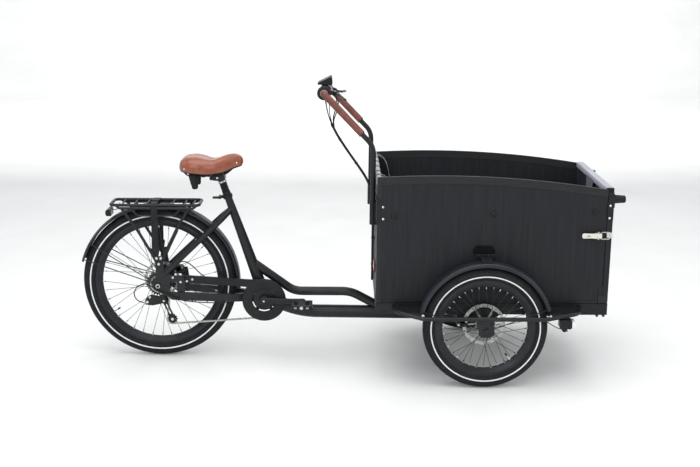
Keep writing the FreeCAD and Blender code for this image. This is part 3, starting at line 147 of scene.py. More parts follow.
LOOKS = {
    "paint": surface("black_powder_coat", (0.006, 0.0065, 0.008), (0.011, 0.012, 0.014), 0.40, bump=0.25,
                     bump_scale=900, coat=0.08, scale=9, specular=0.3),
    "alloy_black": surface("black_anodised", (0.008, 0.0085, 0.0095), (0.017, 0.018, 0.02), 0.38, metal=0.2,
                           bump=0.15, bump_scale=1400, specular=0.3),
    "rim_black": surface("black_rim", (0.010, 0.011, 0.014), (0.018, 0.020, 0.025), 0.42, metal=0.15,
                         bump=0.1, bump_scale=1200, specular=0.32),
    "rail_black": surface("black_rail", (0.007, 0.0075, 0.0085), (0.013, 0.014, 0.016), 0.45, bump=0.3,
                          bump_scale=700, stretch=(0.4, 1, 1), scale=14, specular=0.25),
    "wood": surface("black_stained_ply", (0.0095, 0.0102, 0.0122), (0.0165, 0.0175, 0.0205), 0.52, scale=26,
                    stretch=(3.2, 3.2, 0.16), rough_span=0.07, bump=0.35, bump_scale=150,
                    bump_stretch=(2.2, 2.2, 0.05), spread=0.2, detail=8, bump_depth=0.0004, specular=0.22),
    # Same black ply as 'wood' with the grain laid flat, painted darker: painted shade for the floor and bench
    # inside the box.
    "wood_level_shaded": surface("black_ply_level_shaded", (0.006, 0.0065, 0.007), (0.011, 0.0115, 0.0125), 0.52, scale=26,
                          stretch=(0.16, 3.2, 3.2), rough_span=0.07, bump=0.35, bump_scale=150,
                          bump_stretch=(0.05, 2.2, 2.2), spread=0.2, detail=8, bump_depth=0.0004,
                          specular=0.22),
    "ply_edge": surface("ply_edge", (0.011, 0.012, 0.013), (0.022, 0.023, 0.025), 0.55, scale=30,
                        stretch=(0.3, 30, 30), bump=0.4, bump_scale=200, bump_stretch=(0.2, 8, 8),
                        specular=0.25),
    "lining": surface("blue_grey_lining", (0.018, 0.020, 0.031), (0.028, 0.031, 0.046), 0.6, scale=12,
                      bump=0.3, bump_scale=330, pattern="grain", specular=0.2),
    "plastic": surface("black_plastic", (0.007, 0.0075, 0.0085), (0.013, 0.0135, 0.015), 0.5, bump=0.35,
                       bump_scale=1500, scale=30, specular=0.25),
    "plastic_gloss": surface("black_gloss_plastic", (0.007, 0.007, 0.008), (0.012, 0.012, 0.013), 0.28,
                             rough_span=0.06, bump=0.05, bump_scale=600, specular=0.22),
    "mudguard": surface("mudguard_black", (0.010, 0.0125, 0.017), (0.017, 0.021, 0.027), 0.38,
                        rough_span=0.07, scale=7, bump=0.12, bump_scale=1300, specular=0.32),
    "tyre": surface("tyre_rubber", (0.008, 0.0085, 0.009), (0.016, 0.0165, 0.0175), 0.75, scale=40, bump=0.5,
                    bump_scale=900, specular=0.2),
    "stripe": surface("reflective_stripe", (0.62, 0.64, 0.66), (0.80, 0.82, 0.83), 0.35, scale=60, bump=0.2,
                      bump_scale=2500),
    "rubber": surface("black_rubber", (0.007, 0.007, 0.008), (0.014, 0.014, 0.015), 0.6, bump=0.4,
                      bump_scale=1100, specular=0.25),
    # Near-black, low-specular look: painted shade, used for the patch above the mudguard brackets.
    "painted_shade_black": surface("painted_shade_black", (0.0022, 0.0023, 0.0026), (0.0045, 0.0046, 0.005), 0.7, bump=0.4,
                           bump_scale=1100, specular=0.1),
    "steel": surface("bright_steel", (0.50, 0.50, 0.50), (0.68, 0.68, 0.67), 0.28, metal=1.0, scale=60,
                     bump=0.25, bump_scale=900, bump_stretch=(1, 1, 0.1)),
    "rotor": surface("brake_rotor", (0.40, 0.39, 0.375), (0.58, 0.57, 0.55), 0.48, metal=0.9, scale=50,
                     bump=0.5, bump_scale=1200, bump_stretch=(1, 0.1, 1), bump_depth=0.0001),
    "spoke": surface("black_spoke_steel", (0.028, 0.029, 0.031), (0.055, 0.057, 0.06), 0.34, metal=0.8,
                     scale=90, bump=0.1, bump_scale=2000),
    "alloy": surface("satin_alloy", (0.42, 0.43, 0.44), (0.6, 0.61, 0.62), 0.34, metal=1.0, scale=40,
                     bump=0.2, bump_scale=1400),
    "chain": surface("oiled_chain", (0.24, 0.23, 0.21), (0.50, 0.49, 0.47), 0.34, metal=1.0, scale=120,
                     bump=0.3, bump_scale=1800),
    "cog": surface("dark_cog_steel", (0.05, 0.05, 0.05), (0.12, 0.12, 0.12), 0.4, metal=0.9, scale=120,
                   bump=0.3, bump_scale=1800),
    "saddle": surface("saddle_leather", (0.175, 0.038, 0.015), (0.305, 0.078, 0.031), 0.34, scale=22,
                      rough_span=0.12, bump=0.4, bump_scale=420, pattern="grain", coat=0.3, spread=0.25,
                      bump_depth=0.0003),
    "saddle_edge": surface("saddle_edge", (0.10, 0.028, 0.010), (0.2, 0.055, 0.02), 0.5, scale=60, bump=0.4,
                           bump_scale=500, pattern="grain"),
    "grip": surface("grip_leather", (0.105, 0.026, 0.018), (0.205, 0.056, 0.040), 0.5, scale=55,
                    rough_span=0.12, bump=0.6, bump_scale=520, pattern="grain", spread=0.22,
                    bump_depth=0.0003),
    "thread": surface("waxed_thread", (0.30, 0.20, 0.13), (0.45, 0.32, 0.22), 0.7, scale=300, bump=0.6,
                      bump_scale=2500),
    "webbing": surface("black_webbing", (0.008, 0.008, 0.009), (0.016, 0.016, 0.018), 0.8, sheen=0.15,
                       bump=0.8, bump_scale=260, pattern="weave", bump_depth=0.0005, specular=0.25),
    # Pale grey for strips along the belt edges: painted highlights on the black webbing.
    "painted_edge_highlight": surface("webbing_edge_highlight", (0.24, 0.25, 0.27), (0.42, 0.43, 0.46), 0.75, sheen=0.3, bump=0.8,
                        bump_scale=260, pattern="weave", scale=60, bump_depth=0.0005),
    "pale_rail": surface("grey_cover", (0.20, 0.21, 0.235), (0.36, 0.37, 0.40), 0.5, scale=14, sheen=0.1,
                         bump=0.5, bump_scale=330, pattern="grain", spread=0.28),
    # Lighter grey for the small flap inside the door top: a painted highlight.
    "tab_highlight": surface("grey_tab_highlight", (0.085, 0.09, 0.11), (0.14, 0.148, 0.175), 0.8, scale=40, bump=0.8,
                      bump_scale=260, pattern="weave", bump_depth=0.0005),
    "door_cap": surface("door_cap", (0.27, 0.275, 0.31), (0.40, 0.41, 0.455), 0.45, scale=9, bump=0.4,
                        bump_scale=380, pattern="grain", spread=0.25),
    "cream": surface("latch_cream", (0.60, 0.58, 0.50), (0.74, 0.72, 0.64), 0.36, metal=0.2, scale=50,
                     bump=0.15, bump_scale=900),
    "zinc": surface("zinc", (0.55, 0.55, 0.54), (0.78, 0.78, 0.76), 0.3, metal=0.9, scale=90, bump=0.2,
                    bump_scale=900),
    "red": surface("red_reflector", (0.36, 0.010, 0.022), (0.5, 0.02, 0.035), 0.22, scale=80, bump=0.8,
                   bump_scale=330, pattern="grain", coat=0.5),
    "lens": surface("clear_lens", (0.55, 0.57, 0.6), (0.78, 0.8, 0.82), 0.12, rough_span=0.05, scale=60,
                    bump=0.7, bump_scale=260, pattern="grain", coat=0.8),
    "screen": surface("screen", (0.006, 0.007, 0.009), (0.012, 0.013, 0.016), 0.35, rough_span=0.03, scale=10,
                      specular=0.15),
    "floor": surface("pale_floor", (0.80, 0.80, 0.79), (0.86, 0.86, 0.85), 0.45, scale=1.5, rough_span=0.08,
                     bump=0.05, bump_scale=60),
}


# ---------------------------------------------------------------- mesh building
class Shape:
    """Vertices and faces gathered from simple solids, in metres."""

    def __init__(self):
        self.verts = []
        self.faces = []

    def add(self, verts, faces):
        """Append vertices and the faces on them."""
        base = len(self.verts)
        self.verts += [Vector(v) for v in verts]
        self.faces += [[base + i for i in f] for f in faces]
        return self

    def block(self, x, y, z):
        """Box between two corners, given as a range on each axis."""
        lo = at(x[0], y[0], z[0])
        hi = at(x[1], y[1], z[1])
        verts = [(a, b, c) for a in (lo.x, hi.x) for b in (lo.y, hi.y) for c in (lo.z, hi.z)]
        return self.add(verts, [(0, 1, 3, 2), (4, 6, 7, 5), (0, 4, 5, 1), (2, 3, 7, 6), (0, 2, 6, 4),
                                (1, 5, 7, 3)])

    def prism(self, outline, shift):
        """Closed outline of vectors, extruded by shift."""
        n = len(outline)
        verts = list(outline) + [p + shift for p in outline]
        faces = [list(range(n))[::-1], list(range(n, 2 * n))]
        faces += [(i, (i + 1) % n, n + (i + 1) % n, n + i) for i in range(n)]
        return self.add(verts, faces)

    def plate_xz(self, points, y0, y1):
        """Plate with an outline in X and Z, between two Y faces."""
        return self.prism([at(x, y0, z) for x, z in points], Y_AXIS * (y1 - y0) * MM)

    def lathe(self, profile, origin, axis, steps=48, start=0.0, sweep=360.0, closed=True):
        """Profile of (radius, along) in millimetres turned about an axis through origin."""
        axis = Vector(axis).normalized()
        side = axis.orthogonal().normalized() if abs(axis.y) < 0.99 else Vector((1, 0, 0))
        other = axis.cross(side)
        full = abs(sweep - 360.0) < 0.01
        rings = steps if full else steps + 1
        verts = []
        for i in range(rings):
            a = math.radians(start + sweep * i / steps)
            out = side * math.cos(a) + other * math.sin(a)
            verts += [origin + (out * r + axis * h) * MM for r, h in profile]
        n = len(profile)
        faces = []
        last = n if closed else n - 1
        for i in range(steps):
            j = (i + 1) % rings
            for k in range(last):
                m = (k + 1) % n
                faces.append((i * n + k, j * n + k, j * n + m, i * n + m))
        if not full and closed:
            faces.append(list(range(n))[::-1])
            faces.append([steps * n + k for k in range(n)])
        return self.add(verts, faces)

    def rod(self, a, b, radius, end_radius=None, steps=20, chamfer=0.0):
        """Round bar from a to b, with chamfered ends."""
        end_radius = radius if end_radius is None else end_radius
        length = (b - a).length / MM
        c = min(chamfer, radius * 0.5, length * 0.4)
        profile = [(0.001, 0), (radius - c, 0)]
        if c:
            profile += [(radius, c), (end_radius, length - c)]
        else:
            profile += [(end_radius, length)]
        profile += [(end_radius - c, length), (0.001, length)]
        return self.lathe(profile, a, b - a, steps, closed=False)

    def bolt(self, foot, direction, radius=4.5, height=4.0, hexagon=True):
        """Bolt head with its washer."""
        direction = Vector(direction).normalized()
        self.rod(foot, foot + direction * 1.0 * MM, radius * 1.5, steps=24, chamfer=0.3)
        start = foot + direction * 0.9 * MM
        steps = 6 if hexagon else 20
        return self.rod(start, start + direction * height * MM, radius, steps=steps, chamfer=0.7)

    def sweep(self, path, radius, sides=14, squash=1.0, flat_dir=None, taper=None, cap=True):
        """Tube along a list of points; squash flattens it along flat_dir."""
        count = len(path)
        up = flat_dir or Vector((0.01, 1, 0.02))
        verts = []
        for i, p in enumerate(path):
            ahead = path[min(i + 1, count - 1)] - path[max(i - 1, 0)]
            t = ahead.normalized()
            u = (up - t * up.dot(t)).normalized()
            v = t.cross(u)
            if flat_dir is None:
                up = u
            r = radius * (taper[i] if taper else 1.0) * MM
            for k in range(sides):
                a = 2 * math.pi * k / sides
                verts.append(p + u * (math.cos(a) * r * squash) + v * (math.sin(a) * r))
        faces = []
        for i in range(count - 1):
            for k in range(sides):
                m = (k + 1) % sides
                faces.append((i * sides + k, i * sides + m, (i + 1) * sides + m, (i + 1) * sides + k))
        if cap:
            faces.append(list(range(sides))[::-1])
            faces.append([(count - 1) * sides + k for k in range(sides)])
        return self.add(verts, faces)

    def ribbon(self, path, width_dir, half_width, thick):
        """Flat band along a path of points."""
        count = len(path)
        verts = []
        w = Vector(width_dir).normalized()
        for i, p in enumerate(path):
            t = (path[min(i + 1, count - 1)] - path[max(i - 1, 0)]).normalized()
            n = t.cross(w).normalized()
            for a, b in ((-1, -1), (1, -1), (1, 1), (-1, 1)):
                verts.append(p + w * (a * half_width * MM) + n * (b * thick * 0.5 * MM))
        faces = [(0, 1, 2, 3), tuple((count - 1) * 4 + k for k in (3, 2, 1, 0))]
        for i in range(count - 1):
            for k in range(4):
                m = (k + 1) % 4
                faces.append((i * 4 + k, (i + 1) * 4 + k, (i + 1) * 4 + m, i * 4 + m))
        return self.add(verts, faces)

    def cutout(self, loops, thickness, centre, normal=OUTWARD, u_dir=(1, 0, 0)):
        """Flat plate from closed 2D loops in millimetres; inner loops are holes."""
        curve = bpy.data.curves.new("cutout", "CURVE")
        curve.dimensions = "2D"
        curve.fill_mode = "BOTH"
        curve.extrude = thickness / 2 * MM
        for loop in loops:
            spline = curve.splines.new("POLY")
            spline.points.add(len(loop) - 1)
            for p, (x, y) in zip(spline.points, loop):
                p.co = (x * MM, y * MM, 0, 1)
            spline.use_cyclic_u = True
        obj = bpy.data.objects.new("cutout", curve)
        scene.collection.objects.link(obj)
        bpy.context.view_layer.update()
        mesh = bpy.data.meshes.new_from_object(obj)
        w = Vector(normal).normalized()
        u = Vector(u_dir).normalized()
        v = w.cross(u)
        verts = [centre + u * p.co.x + v * p.co.y + w * p.co.z for p in mesh.vertices]
        faces = [tuple(f.vertices) for f in mesh.polygons]
        bpy.data.objects.remove(obj)
        bpy.data.curves.remove(curve)
        bpy.data.meshes.remove(mesh)
        return self.add(verts, faces)

    def join(self, other, move=None):
        """Add the faces of another shape."""
        verts = [move @ v for v in other.verts] if move else other.verts
        return self.add(verts, other.faces)

    def flipped(self):
        """The same shape mirrored to the other side."""
        out = Shape()
        out.verts = [Vector((v.x, -v.y, v.z)) for v in self.verts]
        out.faces = [f[::-1] for f in self.faces]
        return out

    def both(self):
        """The shape and its mirror image."""
        return self.join(self.flipped())


def make(name, shape, look, body, hides=(), bevel=0.0, subdiv=0, angle=35, segments=2):
    """Turn a Shape into a named piece that rides on a body and takes the place of the CAD nodes in hides."""
    mesh = bpy.data.meshes.new(name)
    mesh.from_pydata(shape.verts, [], shape.faces)
    work = bmesh.new()
    work.from_mesh(mesh)
    bmesh.ops.remove_doubles(work, verts=work.verts, dist=1e-6)
    bmesh.ops.dissolve_degenerate(work, edges=work.edges, dist=1e-7)
    bmesh.ops.recalc_face_normals(work, faces=work.faces)
    work.to_mesh(mesh)
    work.free()
    mesh.polygons.foreach_set("use_smooth", [True] * len(mesh.polygons))
    if not subdiv:
        mesh.set_sharp_from_angle(angle=math.radians(angle))
    obj = bpy.data.objects.new(name, mesh)
    scene.collection.objects.link(obj)
    mesh.materials.append(LOOKS[look])
    if bevel:
        mod = obj.modifiers.new("edges", "BEVEL")
        mod.width = bevel * MM
        mod.segments = segments
        mod.limit_method = "ANGLE"
        mod.angle_limit = math.radians(40)
        mod.harden_normals = True
    if subdiv:
        mod = obj.modifiers.new("smooth", "SUBSURF")
        mod.levels = subdiv
        mod.render_levels = subdiv
    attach(obj, body)
    if hides:
        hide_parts(*hides)
    return obj


def cable(name, points, radius, body):
    """Round cable on one smooth spline through the object's clips."""
    curve = bpy.data.curves.new(name, "CURVE")
    curve.dimensions = "3D"
    curve.bevel_depth = radius * MM
    curve.bevel_resolution = 4
    curve.resolution_u = 10
    curve.use_fill_caps = True
    spline = curve.splines.new("NURBS")
    spline.points.add(len(points) - 1)
    for p, co in zip(spline.points, points):
        p.co = (*co, 1)
    spline.order_u = 3
    spline.use_endpoint_u = True
    curve.materials.append(LOOKS["rubber"])
    obj = bpy.data.objects.new(name, curve)
    scene.collection.objects.link(obj)
    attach(obj, body)
    return obj


def circle(radius, count=48, centre=(0, 0), start=0.0):
    """Points of a full circle."""
    return [(centre[0] + radius * math.cos(start + 2 * math.pi * i / count),
             centre[1] + radius * math.sin(start + 2 * math.pi * i / count)) for i in range(count)]


def arc(centre, radius, start, end, steps):
    """Points of an arc, its ends included; angles in degrees."""
    angles = [math.radians(start + (end - start) * i / steps) for i in range(steps + 1)]
    return [(centre[0] + radius * math.cos(a), centre[1] + radius * math.sin(a)) for a in angles]


def curved(points, steps=8):
    """Smooth path through the given vectors."""
    out = []
    n = len(points)
    for i in range(n - 1):
        p0 = points[max(i - 1, 0)]
        p1 = points[i]
        p2 = points[i + 1]
        p3 = points[min(i + 2, n - 1)]
        for k in range(steps):
            t = k / steps
            out.append(0.5 * ((2 * p1) + (p2 - p0) * t + (2 * p0 - 5 * p1 + 4 * p2 - p3) * t * t
                              + (3 * p1 - p0 - 3 * p2 + p3) * t ** 3))
    out.append(points[-1])
    return out


def rounded(points, radius, steps=6):
    """Straight runs with round corners, as a list of vectors."""
    out = [points[0]]
    for a, b, c in zip(points, points[1:], points[2:]):
        back = (a - b).normalized()
        ahead = (c - b).normalized()
        half = back.angle(ahead) / 2
        reach = min(radius * MM / math.tan(half), (a - b).length * 0.49, (c - b).length * 0.49)
        r = reach * math.tan(half)
        centre = b + (back + ahead).normalized() * (r / math.sin(half))
        start = b + back * reach
        end = b + ahead * reach
        for k in range(steps + 1):
            t = k / steps
            p = (start.lerp(end, t) - centre).normalized()
            out.append(centre + p * r)
    out.append(points[-1])
    return out


def dress(node, look, smooth=True):
    """Give a CAD node its material."""
    obj = NODES[node]
    obj.data.materials.clear()
    obj.data.materials.append(LOOKS[look])
    if smooth:
        obj.data.polygons.foreach_set("use_smooth", [True] * len(obj.data.polygons))
        obj.data.set_sharp_from_angle(angle=math.radians(32))


# ---------------------------------------------------------------- wheels
def tyre_shape(centre, wheel_r, section_r, blocks):
    """Tyre with a block tread, a plain sidewall and a bead."""
    ring = wheel_r - section_r
    steps = blocks * 4
    angles = [-148, -130, -112, -98, -84, -70, -62, -61, -50, -38, -37, -33, -32, -20, -9, -8, 0]
    angles = angles + [-a for a in angles[-2::-1]]
    verts = []
    for i in range(steps):
        turn = 2 * math.pi * i / steps
        for a in angles:
            size = abs(a)
            depth = 0.0
            if size < 62:
                if 8.5 < size < 61.5 and (i + int(size / 22) + (2 if a > 0 else 0)) % 4 == 0:
                    depth = 1.3
                if 33 <= size <= 37:
                    depth = 1.5
            r = section_r - 0.1 - depth
            radial = ring + r * math.cos(math.radians(a))
            y = r * math.sin(math.radians(a))
            verts.append(centre + Vector((radial * math.cos(turn), y, radial * math.sin(turn))) * MM)
    for i in range(steps):
        turn = 2 * math.pi * i / steps
        for a in (148, -148):
            radial = ring + (section_r - 3.5) * math.cos(math.radians(a))
            y = (section_r - 3.5) * math.sin(math.radians(a))
            verts.append(centre + Vector((radial * math.cos(turn), y, radial * math.sin(turn))) * MM)
    n = len(angles)
    inner = steps * n
    faces = []
    for i in range(steps):
        j = (i + 1) % steps
        for k in range(n - 1):
            faces.append((i * n + k, j * n + k, j * n + k + 1, i * n + k + 1))
        faces.append((i * n + n - 1, j * n + n - 1, inner + j * 2, inner + i * 2))
        faces.append((inner + i * 2, inner + j * 2, inner + j * 2 + 1, inner + i * 2 + 1))
        faces.append((inner + i * 2 + 1, inner + j * 2 + 1, j * n, i * n))
    return Shape().add(verts, faces)


def stripe_shape(centre, wheel_r, section_r, middle):
    """Thin reflective band on both sidewalls."""
    ring = wheel_r - section_r
    out = Shape()
    for side in (-1, 1):
        profile = []
        for a, lift in ((middle - 5.2, -0.6), (middle - 5.2, 0.25), (middle, 0.35), (middle + 5.2, 0.25),
                        (middle + 5.2, -0.6)):
            r = section_r - 0.1 + lift
            profile.append((ring + r * math.cos(math.radians(a)), side * r * math.sin(math.radians(a))))
        out.lathe(profile, centre, Y_AXIS, 160)
    return out


def rim_shape(centre, wheel_r, section_r, inside):
    """Deep rim with rounded flanks and hooked edges."""
    bead = 0.52 * section_r
    seat = wheel_r - section_r - math.sqrt(section_r ** 2 - bead ** 2)
    half = [(seat + 1.5, bead + 1.2), (seat + 1.6, bead + 2), (seat - 1, bead + 2.2), (seat - 9, bead + 2),
            (seat - 11, bead + 1.4), (inside + 9, 9.5), (inside + 3, 7.4), (inside + 0.6, 5.2), (inside, 2.5)]
    profile = half + [(r, -y) for r, y in half[::-1]] + [(seat - 3, -bead), (seat - 3, bead)]
    return Shape().lathe(profile, centre, Y_AXIS, 144)


def spoke_ends(centre, rim_r, flange_r, flange_y, crossing, count=36):
    """Inner and outer end of each spoke, laced by turns forward and backward."""
    ends = []
    for side, y in enumerate(flange_y):
        for j in range(count // 2):
            lean = 1 if j % 2 else -1
            at_rim = math.radians((2 * j + side) * 360 / count)
            at_hub = at_rim + math.radians(lean * crossing)
            inner = centre + Vector((flange_r * math.cos(at_hub), y + 1.6 * lean,
                                     flange_r * math.sin(at_hub))) * MM
            outer = centre + Vector((rim_r * math.cos(at_rim), math.copysign(3, y),
                                     rim_r * math.sin(at_rim))) * MM
            ends.append((inner, outer))
    return ends


def nipple_shape(ends):
    """Spoke nipples, each with its seat in the rim."""
    out = Shape()
    for inner, outer in ends:
        back = (inner - outer).normalized()
        out.rod(outer - back * 1.0 * MM, outer + back * 2.4 * MM, 3.0, 2.7, steps=12, chamfer=0.5)
        out.rod(outer + back * 2.0 * MM, outer + back * 10.5 * MM, 2.4, 2.2, steps=10, chamfer=0.6)
    return out


def disc_shape(centre, radius, half_thick=1.0):
    """Brake rotor: a slotted friction band carried by curved arms."""
    loops = [[]]
    for i in range(120):
        a = 2 * math.pi * i / 120
        loops[0].append((math.cos(a) * (radius - 1.2 * (i % 10 in (4, 5))),
                         math.sin(a) * (radius - 1.2 * (i % 10 in (4, 5)))))
    for i in range(6):
        base = math.radians(60 * i)
        window = []
        for a, r in ((6, 0.38), (20, 0.36), (34, 0.36), (48, 0.38), (54, 0.55), (59, 0.81), (44, 0.845),
                     (30, 0.85), (16, 0.845), (3, 0.82), (2, 0.55)):
            window.append((math.cos(base + math.radians(a)) * r * radius,
                           math.sin(base + math.radians(a)) * r * radius))
        loops.append(window)
    for i in range(24):
        a = 2 * math.pi * i / 24 + 0.08
        reach = radius * (0.895 + 0.05 * (i % 2))
        loops.append(circle(radius * 0.028, 10, (reach * math.cos(a), reach * math.sin(a))))
    loops.append(circle(radius * 0.2, 24))
    return Shape().cutout(loops, 2 * half_thick, centre)


def wheel(tag, body, centre, wheel_r, section_r, rim_in, blocks, ends, hub_profile, disc_y, disc_r, stripe,
          valve):
    """Tyre, stripe, rim, nipples, hub, brake disc and valve of one wheel."""
    hide = {"rear": ("rear_tyre", "rear_rim", "rear_hub")}.get(tag) or (
        "front_tyre_" + tag, "front_rim_" + tag, "front_hub_" + tag)
    make(tag + "_tyre_tread", tyre_shape(centre, wheel_r, section_r, blocks), "tyre", body, [hide[0]],
         angle=28)
    make(tag + "_tyre_stripe", stripe_shape(centre, wheel_r, section_r, stripe), "stripe", body, angle=60)
    make(tag + "_rim_skin", rim_shape(centre, wheel_r, section_r, rim_in), "rim_black", body,
         [hide[1]], angle=50)
    make(tag + "_nipples", nipple_shape(ends), "steel", body)
    make(tag + "_hub_body", Shape().lathe(hub_profile, centre, Y_AXIS, 48), "alloy_black", body,
         [hide[2]], bevel=0.6, angle=30)
    disc_at = centre + Y_AXIS * disc_y * MM
    make(tag + "_brake_disc", disc_shape(disc_at, disc_r), "rotor", body, bevel=0.25, segments=1)
    bolts = Shape()
    carrier = Shape()
    carrier.lathe([(6.3, -2.4), (0.3 * disc_r, -2.4), (0.3 * disc_r + 1.5, -1.2), (0.3 * disc_r + 1.5, 1.2),
                   (0.3 * disc_r, 2.4), (6.3, 2.4)], disc_at, Y_AXIS, 36)
    for i in range(6):
        a = math.radians(60 * i + 25)
        foot = disc_at + Vector((math.cos(a), 0, math.sin(a))) * 22 * MM * disc_r / 90
        for s in (-1, 1):
            bolts.rod(foot + Y_AXIS * s * 2.2 * MM, foot + Y_AXIS * s * 4.4 * MM, 3.4, steps=12, chamfer=0.6)
    make(tag + "_disc_carrier", carrier, "alloy_black", body, bevel=0.4)
    make(tag + "_disc_bolts", bolts, "steel", body)
    stem = Shape()
    a = math.radians(valve)
    out = Vector((math.cos(a), 0, math.sin(a)))
    stem.rod(centre + out * (rim_in + 2) * MM, centre + out * (rim_in - 22) * MM, 3.0, 2.8, steps=12,
             chamfer=0.8)
    stem.rod(centre + out * (rim_in + 1) * MM, centre + out * (rim_in - 5) * MM, 5.0, steps=6, chamfer=0.8)
    make(tag + "_valve", stem, "steel", body)
    cap = Shape().rod(centre + out * (rim_in - 20) * MM, centre + out * (rim_in - 33) * MM, 4.0, 3.2,
                      steps=12, chamfer=1)
    make(tag + "_valve_cap", cap, "rubber", body)


def hub_profile(left, right, flanges, flange_r, barrel_r):
    """Profile of a hub with two flanges and a barrel between them."""
    low, high = min(flanges), max(flanges)
    return [(6.3, left), (11, left), (12, left + 3), (barrel_r - 2, low - 5), (flange_r, low - 1.8),
            (flange_r + 1, low), (flange_r, low + 1.8), (barrel_r + 3, low + 4), (barrel_r, low + 12),
            (barrel_r - 1, (low + high) / 2), (barrel_r, high - 12), (barrel_r + 3, high - 4),
            (flange_r, high - 1.8),
            (flange_r + 1, high), (flange_r, high + 1.8), (barrel_r - 2, high + 5), (12, right - 3),
            (11, right), (6.3, right)]


def build_wheels():
    """The rear wheel and the two front wheels."""
    centre = at(0, 0, REAR_AXLE_Z)
    ends = spoke_ends(centre, 256.5, 30.2, (-22.0, 32.0), 60)
    wheel("rear", "rear_wheel", centre, REAR_R, 31.0, 256.5, 176, ends,
          hub_profile(-26.5, 66, (-22, 32), 30, 20), 46.0, 80.0, 97.4, 214)
    dress("rear_spokes", "spoke")
    for tag, side in (("right", -1), ("left", 1)):
        centre = at(WHEELBASE, side * HALF_TRACK, FRONT_AXLE_Z)
        ends = spoke_ends(centre, 177.0, 28.2, (-30.0, 30.0), 40)
        wheel(tag, "front_wheel_" + tag, centre, FRONT_R, 29.0, 177.0, 132, ends,
              hub_profile(-46.5, 46.5, (-30, 30), 28, 18), -side * 41.0, 90.0, 99.9, -52)
        dress("front_spokes_" + tag, "spoke")


# ---------------------------------------------------------------- frame
def build_frame():
    """Rear frame: paint on the CAD tubes, and the bolts, clips and rings on them."""
    for node in ("main_beam", "upper_main_tube", "seat_tube", "seat_stays", "chain_stays"):
        dress(node, "paint")
    dress("rear_mudguard", "mudguard")
    nuts = Shape()
    for side in (-1, 1):
        foot = at(0, side * 82, REAR_AXLE_Z)
        nuts.rod(foot - Y_AXIS * side * 7.5 * MM, foot + Y_AXIS * side * 1.0 * MM, 11, steps=6, chamfer=1.2)
        nuts.rod(foot, foot + Y_AXIS * side * 3.8 * MM, 5.6, steps=20, chamfer=0.8)
    make("axle_nuts", nuts, "zinc", "frame", angle=25)
    plates = Shape()
    for x, z, r in ((12, 432, 4.5), (66, 372, 3.5), (100, 352, 3.5), (104, 300, 3.5), (108, 283, 3)):
        plates.bolt(at(x, -74.6, z), OUTWARD, r, 3.0, False)
    plates.bolt(at(12, 74.6, 432), (0, 1, 0), 4.5, 3.0, False)
    make("dropout_bolts", plates, "steel", "frame")
    clips = Shape()
    for x in (150, 215, 285):
        y = -62 - 12 * (215 - x) / 120
        clips.lathe([(3.2, -3), (4.8, -3), (4.8, 3), (3.2, 3)], at(x, y - 9, 250 + (466 - x) * 0.06),
                    (1, 0, 0.0), 16)
    make("hose_clips", clips, "plastic", "frame")
    cable("gear_cable_stay", [at(300, -64, 256), at(240, -68, 254), at(150, -77, 262), at(96, -80, 270),
                              at(40, -80, 300), at(-10, -79, 318)], 2.3, "frame")
    shell = Shape()
    for side in (-1, 1):
        c = at(BB[0], side * 34, BB[1])
        shell.lathe([(10, 0), (23.5, 0), (24.5, 1.5), (24.5, 5), (23, 7), (10, 7)], c - Y_AXIS * 3.5 * MM,
                    Y_AXIS, 40)
    make("bottom_bracket_cups", shell, "alloy_black", "frame")
    head = Shape()
    for z in (163, 249):
        head.lathe([(32.5, -3), (34.5, -2), (34.5, 2), (32.5, 3)], at(1300, 0, z), Z_AXIS, 48)
    make("steering_head_rings", head, "alloy_black", "frame")


def build_mudguard_parts():
    """Stays of the rear mudguard."""
    stays = Shape()
    for side in (-1, 1):
        for turn in (149, 162):
            start = at(-6, side * 77, 342)
            end = at(348 * math.cos(math.radians(turn)), side * 35.4,
                     REAR_AXLE_Z + 348 * math.sin(math.radians(turn)))
            stays.sweep([start, end], 2.2, 10)
            stays.bolt(end, (0, side, 0), 2.6, 2.2, False)
    make("mudguard_stays", stays, "alloy_black", "frame")


